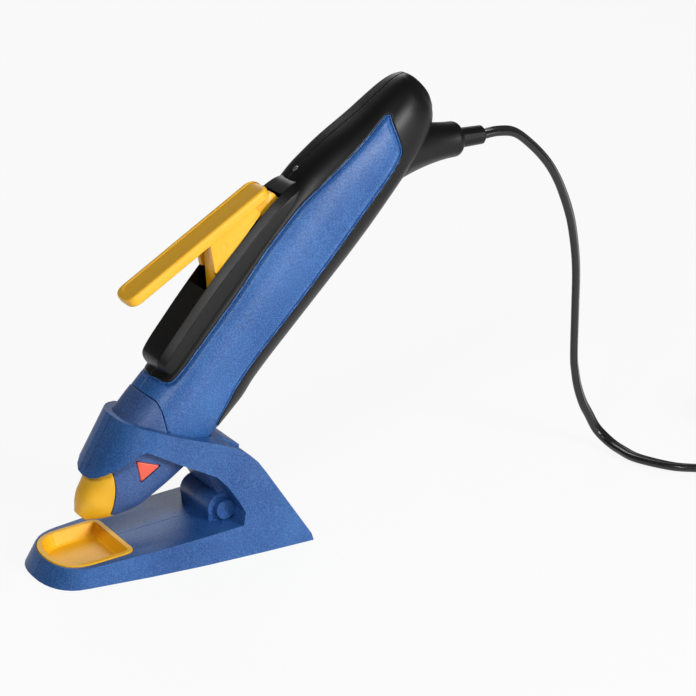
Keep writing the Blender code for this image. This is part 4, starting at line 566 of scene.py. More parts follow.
def dress(piece: Piece, finish: Finish, body: str,
          replaces: Sequence[str] = ()) -> Piece:
    """Give a new piece its finish, the body that it moves with and the solids that it stands for.

    Args:
        piece: the new piece.
        finish: its finish.
        body: the body that it rides on, or nothing where it is blended between bodies.
        replaces: names of the solids that it stands for.

    Returns:
        The same piece.
    """
    piece.data.materials.clear()
    piece.data.materials.append(finish.material())
    if body:
        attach(piece, body)
    if replaces:
        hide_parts(*replaces)
    LOG.info("%s: %d faces", piece.name, len(piece.data.polygons))
    return piece


# The pen's frame and outer form.


@dataclass(frozen=True)
class PenForm:
    """Outer form of the pen in its own frame, and that frame's place."""

    tip: Triple = (-0.0748, 0.0, 0.0209)
    angle: float = math.radians(44.8)
    length: float = 0.2135
    half_width: float = 0.0165
    half_height: float = 0.0195
    power: float = 2.5
    rear_lean: float = math.tan(math.radians(11.0))
    rows: Table = (
        (0.0019, 0.128, -0.149, 0.164), (0.0057, 0.154, -0.185, 0.206), (0.0178, 0.251, -0.328, 0.339),
        (0.0337, 0.328, -0.472, 0.479), (0.0571, 0.390, -0.626, 0.594), (0.081, 0.482, -0.754, 0.727),
        (0.122, 0.590, -0.856, 0.848), (0.164, 0.703, -0.944, 0.939), (0.220, 0.744, -1.026, 0.988),
        (0.272, 0.749, -1.041, 1.000), (0.347, 0.815, -1.056, 1.000), (0.393, 0.856, -0.995, 1.000),
        (0.459, 0.903, -0.974, 1.000), (0.660, 1.036, -0.974, 0.982), (0.726, 1.075, -0.959, 0.970),
        (0.787, 1.005, -0.913, 0.964), (0.890, 0.765, -0.800, 0.910), (0.936, 0.672, -0.715, 0.835),
        (0.962, 0.615, -0.650, 0.735), (0.978, 0.560, -0.580, 0.610), (0.990, 0.485, -0.495, 0.455),
    )

    def section(self, station: np.ndarray) -> tuple[np.ndarray, np.ndarray, np.ndarray]:
        """Middle height, half height and half width of the section at a station."""
        share = np.asarray(station, float) / self.length
        top = table_value(self.rows, share, 1) * self.half_height
        bottom = table_value(self.rows, share, 2) * self.half_height
        wide = table_value(self.rows, share, 3) * self.half_width
        return (top + bottom) / 2.0, (top - bottom) / 2.0, wide

    def surface(self, station: np.ndarray, turn: np.ndarray) -> np.ndarray:
        """Points of the outer form, in the pen's frame.

        A section is a superellipse: side and height are the cosine and sine of the turn, each raised
        to two over the form's power. Towards the rear, sections lean back.
        """
        middle, high, wide = self.section(station)
        cosine, sine = np.cos(turn), np.sin(turn)
        side = wide * np.sign(cosine) * np.abs(cosine) ** (2.0 / self.power)
        rise = high * np.sign(sine) * np.abs(sine) ** (2.0 / self.power)
        lean = self.rear_lean * np.maximum(0.0, (station / self.length - 0.90) / 0.10)
        return np.stack([station + lean * rise, side, middle + rise], -1)

    def turn_at(self, station: np.ndarray, height: np.ndarray) -> np.ndarray:
        """Turn at which the section at a station reaches a height."""
        middle, high, _ = self.section(station)
        ratio = np.clip((height - middle) / high, -1.0, 1.0)
        return np.arcsin(np.sign(ratio) * np.abs(ratio) ** (self.power / 2.0))

    def shell(self, station: np.ndarray, turn: np.ndarray, level: np.ndarray | float) -> np.ndarray:
        """Points at a level above the outer form, moved along its normals."""
        grid = self.surface(station, turn)
        middle, _, _ = self.section(station)
        inside = np.stack([grid[..., 0], np.zeros_like(middle), middle], -1)
        return grid + surface_normals(grid, inside) * np.broadcast_to(level, station.shape)[..., None]

    def place(self, points: np.ndarray) -> np.ndarray:
        """Turn points from the pen's frame into the part's frame."""
        cosine, sine = math.cos(self.angle), math.sin(self.angle)
        x, y, z = points[..., 0], points[..., 1], points[..., 2]
        return np.stack([self.tip[0] + x * cosine - z * sine, self.tip[1] + y,
                         self.tip[2] + x * sine + z * cosine], -1)


PEN = PenForm()


@dataclass
class SidePanel:
    """Border between the blue housing and the black grip, on one side of the pen."""

    upper: Table = (
        (58.90, 19.9), (58.97, 17.6), (59.2, 15.4), (59.8, 13.7), (60.8, 12.6), (62.4, 11.95), (64.9, 11.8),
        (82.0, 12.7), (104.4, 14.0), (126.0, 15.7), (144.0, 16.1), (157.0, 14.9),
        (170.0, 13.2), (183.0, 11.8), (191.0, 11.1), (193.4, 10.8), (194.4, 10.3), (194.8, 9.6),
    )
    lower: Table = (
        (59.4, -21.0), (60.6, -15.8), (65.7, -13.3), (70.9, -11.9), (75.9, -10.4), (92.7, -9.2),
        (116.2, -9.0), (151.0, -7.6), (160.0, -7.0), (170.6, -6.5), (177.8, -5.9), (183.6, -4.9),
        (186.4, -3.9), (188.2, -2.0), (190.6, 2.7), (193.2, 7.6), (194.4, 9.1), (194.8, 9.6),
    )
    front: float = 58.9 * MM
    rear: float = 194.8 * MM

    def limits(self, station: np.ndarray) -> tuple[np.ndarray, np.ndarray]:
        """Turns of the border below and above the blue side at each station."""
        high = PEN.turn_at(station, table_value(self.upper, station / MM) * MM)
        low = PEN.turn_at(station, table_value(self.lower, station / MM) * MM)
        high = np.where(station <= self.front, HALF_TURN, high)
        low = np.where(station <= self.lower[0][0] * MM, -HALF_TURN, low)
        return low, np.maximum(high, low)

    def border_points(self) -> tuple[np.ndarray, np.ndarray]:
        """Points along the upper and the lower border, in the pen's frame, on the side of positive Y."""
        station = stations((58.9, 61.0, 120), (61.0, 184.0, 260), (184.0, 194.8, 160)) * MM
        low, high = self.limits(station)
        return PEN.surface(station, low), PEN.surface(station, high)


def nearest(points: np.ndarray, line: np.ndarray) -> np.ndarray:
    """Distance from each point of a grid to the nearest point of a line."""
    flat = points.reshape(-1, 3)
    found = [np.sqrt(((part[:, None, :] - line[None]) ** 2).sum(-1).min(1))
             for part in np.array_split(flat, max(1, len(flat) // 4000))]
    return np.concatenate(found).reshape(points.shape[:-1])


def turns_at_walks(station: np.ndarray, low: np.ndarray, high: np.ndarray, near_low: np.ndarray,
                   near_high: np.ndarray, between: int) -> np.ndarray:
    """Turns whose way along the section from either limit is given, and even in between.

    Args:
        station: stations of the rows.
        low: turn of the lower limit of each row.
        high: turn of the upper limit of each row.
        near_low: walked lengths from the lower limit.
        near_high: walked lengths back from the upper limit, in falling order.
        between: number of even columns in the middle.

    Returns:
        A grid of turns, one row a station.
    """
    share = 0.5 - 0.5 * np.cos(np.linspace(0.0, math.pi, 400))
    fine = low[:, None] + (high - low)[:, None] * share[None]
    line = PEN.surface(np.repeat(station[:, None], fine.shape[1], 1), fine)
    step = np.linalg.norm(np.diff(line, axis=1), axis=-1)
    walked = np.concatenate([np.zeros((len(station), 1)), np.cumsum(step, 1)], 1)
    rows = []
    room = near_low[-1] + near_high[0]
    for walk, turn in zip(walked, fine):
        shrink = min(1.0, 0.8 * walk[-1] / room)
        first, last = near_low * shrink, walk[-1] - near_high * shrink
        middle = np.linspace(first[-1], last[0], between + 2)[1:-1]
        rows.append(np.interp(np.concatenate([first, middle, last]), walk, turn))
    return np.array(rows)


# Pen body.


def halves(name: str, outer: np.ndarray, inner: np.ndarray, seam: float) -> list[tuple[str, Piece]]:
    """Left and right shell from the grids of one, each moved off the middle plane by the seam.

    Args:
        name: beginning of the shells' names.
        outer: outer grid in the pen's frame.
        inner: inner grid in the pen's frame.
        seam: how far each shell stays off the middle plane.

    Returns:
        The side's name and the shell, for each side.
    """
    made = []
    for half, side in SIDES:
        way, shift = np.array([1.0, side, 1.0]), np.array([0.0, side * seam, 0.0])
        made.append((half, thick_patch(f"{name}_{half}", PEN.place(outer * way + shift),
                                       PEN.place(inner * way + shift), SHELL_SHARP)))
    return made


@dataclass
class BlueHousing:
    """Blue front shell and raised side panel, left and right."""

    panel: SidePanel = field(default_factory=SidePanel)
    wall: float = 1.3 * MM
    seam: float = 0.10 * MM
    crease_from: float = 6.2 * MM
    crease_tilt: float = 0.10

    def seam_station(self, turn: np.ndarray) -> np.ndarray:
        """Station of the rear edge of the nose cover at each turn."""
        return NoseCover().rear_edge(turn) + 0.25 * MM

    def level(self, away: np.ndarray, from_lower: np.ndarray, side: np.ndarray) -> np.ndarray:
        """Height profile from the border inwards: lip, thin groove, chamfer, then the panel."""
        distance = (0.0, 0.10, 0.42, 0.48, 0.56, 0.70, 0.78, 1.90, 2.20)
        height = (-0.50, -0.34, -0.32, -0.50, -1.00, -1.00, -0.66, -0.05, 0.0)
        level = np.interp(away / MM, distance, height) * MM
        tilt = self.crease_tilt * np.maximum(0.0, self.crease_from - from_lower)
        level -= tilt * smooth_step(away, 1.6 * MM, 3.0 * MM)
        return level - 0.22 * MM * np.maximum(0.0, 1.0 - np.abs(side) / (0.30 * MM)) ** 2

    def build(self) -> list[Piece]:
        """Make both halves."""
        edge = np.array([0.0, 0.10, 0.26, 0.42, 0.48, 0.56, 0.63, 0.70, 0.78,
                         1.05, 1.35, 1.65, 1.90, 2.2, 2.7, 3.4]) * MM
        front = stations((0.0, 1.0, 26))
        body = stations((58.0, 58.8, 6), (58.8, 61.2, 40), (61.2, 66.0, 20), (66.0, 174.0, 120),
                        (174.0, 184.0, 24), (184.0, 193.6, 60), (193.6, 194.76, 18)) * MM
        low, high = self.panel.limits(body)
        turn = turns_at_walks(body, low, high, edge, edge[::-1], 44)
        station = np.repeat(body[:, None], turn.shape[1], 1)
        first_turn = np.repeat(turn[:1], len(front), 0)
        start = self.seam_station(first_turn[0])
        front_station = start[None] + (body[0] - start)[None] * front[:-1, None]
        station = np.vstack([front_station, station])
        turn = np.vstack([first_turn[:-1], turn])
        base = PEN.surface(station, turn)
        lower_line, upper_line = self.panel.border_points()
        to_lower = nearest(base, lower_line)
        away = np.minimum(to_lower, nearest(base, upper_line))
        level = self.level(away, to_lower, base[..., 1])
        outer = PEN.shell(station, turn, level)
        outer[0] = PEN.shell(station, turn, level - 0.35 * MM)[0]
        neck = PEN.shell(station[:2], turn[:2], -3.4 * MM)[0]
        tucked = neck.copy()
        tucked[:, 0] = 42.0 * MM
        outer = np.vstack([tucked[None], neck[None], outer])
        inner = PEN.shell(station, turn, -self.wall - 0.9 * MM)
        inside = PEN.shell(station[:2], turn[:2], -5.0 * MM)[0]
        inside_front = inside.copy()
        inside_front[:, 0] = 42.0 * MM
        inner = np.vstack([inside_front[None], inside[None], inner])
        return [dress(piece, BLUE, "pen", [f"housing_{name}"])
                for name, piece in halves("housing_shell", outer, inner, self.seam)]


@dataclass
class BlackGrip:
    """Soft black shell over the pen's back, belly and rear end, left and right."""

    panel: SidePanel = field(default_factory=SidePanel)
    seam: float = 0.10 * MM
    hidden: float = -1.75 * MM
    wall: float = 1.2 * MM
    mouth: float = 6.5 * MM

    def build(self) -> list[Piece]:
        """Make both halves with the slot for the lever cut through them."""
        body = stations((56.0, 58.6, 5), (58.6, 61.2, 44), (61.2, 66.0, 20), (66.0, 174.0, 120),
                        (174.0, 184.0, 24), (184.0, 195.2, 70), (195.2, 204.0, 18),
                        (204.0, 211.36, 26)) * MM
        low, high = self.panel.limits(body)
        tiny = math.radians(0.35)
        past = body > self.panel.rear
        last = PEN.turn_at(body, np.full_like(body, self.panel.upper[-1][1] * MM))
        low = np.where(past, last, low)
        high = np.where(past, last, high)
        low = np.clip(low, -HALF_TURN + tiny, HALF_TURN - 2.0 * tiny)
        high = np.clip(np.maximum(high, low + tiny), -HALF_TURN + tiny, HALF_TURN - tiny)
        edge = np.array([0.0, 0.08, 0.18, 0.32, 0.5, 0.75, 1.1, 1.6, 2.3]) * MM
        far = np.array([0.0, 0.15, 0.4, 0.9]) * MM
        bottom = turns_at_walks(body, np.full_like(low, -HALF_TURN), low, far, edge[::-1], 16)
        top = turns_at_walks(body, high, np.full_like(high, HALF_TURN), edge, far[::-1], 44)
        inside = np.linspace(0.0, 1.0, 10)[None, 1:-1]
        covered = low[:, None] + (high - low)[:, None] * inside
        turn = np.hstack([bottom, low[:, None], covered, high[:, None], top])
        station = np.repeat(body[:, None], turn.shape[1], 1)
        base = PEN.surface(station, turn)
        lower_line, upper_line = self.panel.border_points()
        away = np.minimum(nearest(base, lower_line), nearest(base, upper_line))
        level = np.interp(away / MM, (0.0, 0.08, 0.25, 0.5, 0.9), (-0.42, -0.25, -0.10, -0.02, 0.0)) * MM
        under = np.zeros(turn.shape, bool)
        under[:, bottom.shape[1]:-top.shape[1]] = True
        under &= (station <= self.panel.rear)
        front = station < self.panel.front
        level = np.where(under | front, self.hidden, level)
        level -= 0.16 * MM * np.maximum(0.0, 1.0 - base[..., 1] / (0.25 * MM)) ** 2
        outer = PEN.shell(station, turn, level)
        inner = PEN.shell(station, turn, np.minimum(level, self.hidden) - self.wall)
        outer, inner = self.close_rear(outer, inner, turn)
        made = []
        for name, piece in halves("grip_skin", outer, inner, self.seam):
            cut(piece, LeverHump().slot(f"slot_{name}"), sharp=SHELL_SHARP)
            made.append(dress(piece, RUBBER, "pen", [f"grip_{name}"]))
        return made

    def close_rear(self, outer: np.ndarray, inner: np.ndarray,
                   turn: np.ndarray) -> tuple[np.ndarray, np.ndarray]:
        """Rounded rear end down to the mouth for the glue stick, with its thickness forward.

        Args:
            outer: outer grid in the pen's frame.
            inner: inner grid in the pen's frame.
            turn: turns of the grids' points.

        Returns:
            Both grids with the rows of the rear end added.
        """
        share = stations((0.0, 1.0, 14))[1:]
        last, heart = outer[-1], inner[-1]
        around = turn[-1]
        ring = np.stack([np.zeros(len(around)), self.mouth * np.cos(around),
                         self.mouth * np.sin(around)], -1)
        lean = PEN.rear_lean * 0.9
        level = last[:, 0].mean()
        rows, inner_rows = [], []
        for part in share:
            spot = last + (ring - last) * part
            swell = 0.55 * MM * math.sqrt(max(0.0, 1.0 - (1.0 - part) ** 2))
            uneven = last[:, 0] - level - lean * last[:, 2]
            spot[:, 0] = level + lean * spot[:, 2] + swell + uneven * (1.0 - part)
            inner_spot = heart + (ring - heart) * part
            inner_spot[:, 0] = spot[:, 0] - 3.0 * MM
            rows.append(spot)
            inner_rows.append(inner_spot)
        inner = inner.copy()
        inner[-8:, :, 0] -= np.linspace(0.2, 3.0, 8)[:, None] * MM
        return np.vstack([outer, np.array(rows)]), np.vstack([inner, np.array(inner_rows)])


@dataclass
class LeverHump:
    """Raised black block that the lever sinks into, with a raised rim behind the lever."""

    base: float = 8.0 * MM
    foot_half_width: float = 10.4 * MM
    flat_half_width: float = 7.2 * MM
    slot_front: float = 97.0 * MM
    slot_rear: float = 144.0 * MM
    slot_half_width: float = 7.3 * MM
    slot_floor: float = 6.0 * MM
    slot_top: float = 40.0 * MM
    pocket_front: float = 84.0 * MM
    pocket_top: float = 18.5 * MM
    heights: Table = (
        (62.3, 15.2), (62.7, 17.0), (63.3, 18.4), (64.2, 19.4), (65.6, 20.1), (70.0, 20.9), (80.0, 21.9),
        (91.0, 22.9), (104.0, 23.7), (128.0, 24.1), (138.0, 23.9), (143.0, 23.3), (147.0, 22.4),
        (149.6, 21.6), (151.4, 20.6), (152.8, 19.2), (153.4, 17.6),
    )
    widths: Table = (
        (62.3, 0.74), (62.7, 0.82), (63.3, 0.88), (64.2, 0.93), (66.0, 0.965), (72.0, 0.99), (90.0, 1.0),
        (141.0, 1.0), (146.0, 0.975), (149.0, 0.91), (151.5, 0.80), (153.4, 0.64),
    )

    def ring(self, station: float) -> np.ndarray:
        """Section at a station: flat top, chamfer to each side, steep flanks."""
        top = float(table_value(self.heights, np.array([station / MM]))[0]) * MM
        wide = float(table_value(self.widths, np.array([station / MM]))[0])
        flat, foot = self.flat_half_width * wide, self.foot_half_width * wide
        shoulder = top - 2.7 * MM
        corners = [(flat, top), (-flat, top), (-foot + 0.35 * MM, shoulder), (-foot, self.base),
                   (foot, self.base), (foot - 0.35 * MM, shoulder)]
        outline = rounded_polygon(corners, [1.0 * MM, 1.0 * MM, 0.9 * MM, 0.3 * MM, 0.3 * MM, 0.9 * MM], 7)
        return np.column_stack([np.full(len(outline), station), outline])

    def slot(self, name: str) -> list[Piece]:
        """Cutters for the slot that the lever sinks into and for the pocket ahead of it.

        The pocket gives the link and the carriage room at the end of the lever's pull.
        """
        made = []
        rooms = (("open", self.slot_front, self.slot_rear, self.slot_top),
                 ("pocket", self.pocket_front, self.slot_front + 1.0 * MM, self.pocket_top))
        for part, front, rear, top in rooms:
            corners = [(front, -self.slot_half_width), (rear, -self.slot_half_width),
                       (rear, self.slot_half_width), (front, self.slot_half_width)]
            outline = rounded_polygon(corners, [0.8 * MM] * 4, 6)
            rings = [np.column_stack([outline, np.full(len(outline), height)])
                     for height in (self.slot_floor, top)]
            made.append(ring_loft(f"{name}_{part}", PEN.place(np.array(rings))))
        return made

    def build(self) -> list[Piece]:
        """Make the block and cut its slot."""
        along = stations((62.3, 66.0, 26), (66.0, 143.0, 60), (143.0, 150.0, 18), (150.0, 153.4, 18)) * MM
        rings = np.array([self.ring(station) for station in along])
        piece = ring_loft("lever_hump", PEN.place(rings), 40.0)
        cut(piece, self.slot("hump_slot"), sharp=40.0)
        return [dress(piece, RUBBER, "pen")]


@dataclass
class CordSnout:
    """Black cone that the cord leaves by, level with the desk."""

    end: float = 0.0950
    height: float = 0.1477
    end_radius: float = 7.2 * MM
    root_radius: float = 16.5 * MM
    length: float = 40.0 * MM
    hole: float = 4.35 * MM
    half_width: float = 12.3 * MM

    def build(self) -> list[Piece]:
        """Turn the cone about a level axis, and flatten its root so that it stays inside the flanks."""
        share = np.linspace(0.0, 1.0, 36)
        radius = self.end_radius + (self.root_radius - self.end_radius) * share ** 1.7
        cone = np.column_stack([-2.9 * MM - (self.length - 2.9 * MM) * share, radius])
        angle = np.linspace(0.0, HALF_TURN, 14)
        nose = np.column_stack([-2.9 * MM + 2.9 * MM * np.sin(angle),
                                self.end_radius - 2.0 * MM * (1.0 - np.cos(angle))])
        inside = [(0.0, self.hole), (-self.length * 0.98, self.hole)]
        profile = np.vstack([inside[::-1], nose[::-1], cone[1:]])
        rings = turned_rings(profile, (self.end, 0.0, self.height), (1.0, 0.0, 0.0), 96)
        rings[..., 1] *= np.minimum(1.0, self.half_width / np.maximum(profile[:, 1], self.hole))[:, None]
        rows, columns = rings.shape[:2]
        first, last = np.arange(columns), (rows - 1) * columns
        after = np.roll(first, -1)
        faces = np.vstack([quads(rows, columns, closed=True),
                           np.stack([first, first + last, after + last, after], -1)])
        piece = make_object("cord_snout", rings, faces.tolist(), SHELL_SHARP)
        return [dress(piece, RUBBER, "pen")]


@dataclass
class NoseCover:
    """Blue cover of the hot end with its coral triangle, and the yellow cap ahead of it."""

    proud: float = 0.3 * MM
    wall: float = 2.6 * MM
    cap_radius: float = 60.0 * MM
    cap_station: float = 15.0 * MM
    gap: float = 0.3 * MM
    rear: Table = ((-25.3, 45.25), (-2.0, 45.3), (2.1, 45.8), (6.0, 48.4), (9.6, 51.0),
                   (12.3, 52.2), (15.0, 51.6), (17.2, 50.7), (23.4, 50.5))

    def rear_edge(self, turn: np.ndarray) -> np.ndarray:
        """Station of the rear edge at each turn, found by repeated reading of the section's height."""
        station = np.full(np.shape(turn), 49.0 * MM)
        for _ in range(6):
            height = PEN.surface(station, turn)[..., 2]
            station = table_value(self.rear, height / MM) * MM
        return station

    def cap_edge(self, turn: np.ndarray) -> np.ndarray:
        """Station of the seam between cap and cover: a wide circle about a point above the nose."""
        centre_x = self.cap_station - self.cap_radius * math.cos(PEN.angle)
        centre_z = self.cap_radius * math.sin(PEN.angle)
        station = np.full(np.shape(turn), self.cap_station)
        for _ in range(8):
            height = PEN.surface(station, turn)[..., 2]
            station = centre_x + np.sqrt(self.cap_radius ** 2 - (height - centre_z) ** 2)
        return station

    def build(self) -> list[Piece]:
        """Make cover, triangles and cap."""
        columns = 176
        turn = np.linspace(0.0, FULL_TURN, columns, endpoint=False) + math.pi / columns
        wrapped = np.concatenate([turn[-1:] - FULL_TURN, turn, turn[:1] + 2.0 * math.pi])
        cover = self.sleeve("nose_shell", wrapped, self.cap_edge(wrapped) + self.gap,
                            self.rear_edge(wrapped), self.proud)
        blocks = [Inlay(side).prism(f"triangle_space_{number}", 0.30 * MM, 5.0 * MM)
                  for number, side in enumerate((-1.0, 1.0), 1)]
        cut(cover, blocks, sharp=45.0)
        dress(cover, COVER_BLUE, "pen", ["nose_cover"])
        made = [cover]
        for name, side in SIDES:
            piece = Inlay(side).build(f"triangle_{name}")
            made.append(dress(piece, CORAL, "pen", [f"triangle_inlay_{name}"]))
        made.append(dress(self.cap(wrapped), YELLOW, "pen", ["nozzle_cap"]))
        return made

    def sleeve(self, name: str, turn: np.ndarray, front: np.ndarray, rear: np.ndarray,
               level: float) -> Piece:
        """Sleeve between two edges, rounded at both; turn has one spare column at each side."""
        inset = np.array([0.0, 0.05, 0.14, 0.26, 0.42]) * MM
        drop = np.array([0.34, 0.20, 0.09, 0.02, 0.0]) * MM
        span = (rear - front)[None]
        middle = np.linspace(0.0, 1.0, 60)[1:-1, None]
        rows = [front[None] + inset[:, None], front[None] + 0.42 * MM + (span - 0.84 * MM) * middle,
                rear[None] - inset[::-1, None]]
        station = np.vstack(rows)
        falls = np.concatenate([drop, np.zeros(len(middle)), drop[::-1]])
        grid = np.repeat(turn[None], len(station), 0)
        side = np.abs(PEN.surface(station, grid)[..., 1])
        seam = 0.16 * MM * np.maximum(0.0, 1.0 - side / (0.26 * MM)) ** 2
        outer = PEN.shell(station, grid, level - falls[:, None] - seam)[:, 1:-1]
        inner = PEN.shell(station, grid, -self.wall)[:, 1:-1]
        return thick_tube(name, PEN.place(outer), PEN.place(inner), SHELL_SHARP)

    def cap(self, turn: np.ndarray) -> Piece:
        """Cap from the nozzle's mouth to the seam."""
        rear = self.cap_edge(turn)
        start = 0.45 * MM
        share = stations((0.0, 1.0, 46))[:, None]
        station = start + (rear - start)[None] * share
        away = rear[None] - station
        fall = np.interp(away / MM, (0.0, 0.06, 0.18, 0.36), (0.30, 0.16, 0.05, 0.0)) * MM
        grid = np.repeat(turn[None], len(station), 0)
        outer = PEN.shell(station, grid, -fall)[:, 1:-1]
        inner = PEN.shell(station, grid, -1.5 * MM)[:, 1:-1]
        own = turn[1:-1]
        mouth = np.stack([np.full(len(own), 0.2 * MM), 1.9 * MM * np.cos(own), 1.9 * MM * np.sin(own)], -1)
        lip = 0.5 * (outer[0] + mouth)
        lip[:, 0] = 0.25 * MM
        deep = mouth * np.array([1.0, 0.98, 0.98]) + np.array([2.0 * MM, 0.0, 0.0])
        outer = np.vstack([mouth[None], lip[None], outer])
        inner = np.vstack([deep[None], (deep + np.array([0.2 * MM, 0.0, 0.0]))[None],
                           np.maximum(inner, np.array([2.4 * MM, -1.0, -1.0]))])
        return thick_tube("tip_cap", PEN.place(outer), PEN.place(inner), SHELL_SHARP)


@dataclass
class Inlay:
    """Coral triangle let into one flank of the nose cover."""

    side: float
    corners: Table = ((29.9, 4.0), (34.3, -4.7), (24.9, -3.7))
    corner_radius: float = 0.45 * MM
    inradius: float = 2.6 * MM

    def outline(self, shrink: float) -> np.ndarray:
        """Rounded triangle as (station, height) pairs, pulled in all round."""
        corners = np.asarray(self.corners) * MM
        centre = corners.mean(0)
        pulled = centre + (corners - centre) * (1.0 - shrink / self.inradius)
        return rounded_polygon(pulled, [self.corner_radius] * len(corners), 8)

    def prism(self, name: str, grow: float, reach: float) -> Piece:
        """Cutter across the flank, down to the floor of the recess."""
        outline = self.outline(-grow)
        depth = 0.82 * PEN.half_width - 1.2 * MM
        rings = [np.column_stack([outline[:, 0], np.full(len(outline), self.side * side), outline[:, 1]])
                 for side in (depth, depth + reach)]
        return ring_loft(name, PEN.place(np.array(rings)))

    def build(self, name: str) -> Piece:
        """Raised triangle whose face follows the flank: rings shrink towards the middle."""
        outline = self.outline(0.0)
        centre = outline.mean(0)
        rings = []
        steps = ((0.0, -1.1), (0.0, -0.10), (0.03, 0.10), (0.09, 0.22), (0.16, 0.26),
                 (0.24, 0.26), (0.45, 0.26), (0.70, 0.26), (0.9, 0.26))
        for shrink, level in steps:
            spot = outline + (centre - outline) * shrink
            station, height = spot[:, 0], spot[:, 1]
            turn = PEN.turn_at(station, height)
            skin = PEN.surface(station, turn)
            middle, _, _ = PEN.section(station)
            out = np.column_stack([np.zeros(len(skin)), skin[:, 1], 0.3 * (skin[:, 2] - middle)])
            rings.append((skin + unit(out) * level * MM) * np.array([1.0, self.side, 1.0]))
        return ring_loft(name, PEN.place(np.array(rings)), SHELL_SHARP)


# Lever.


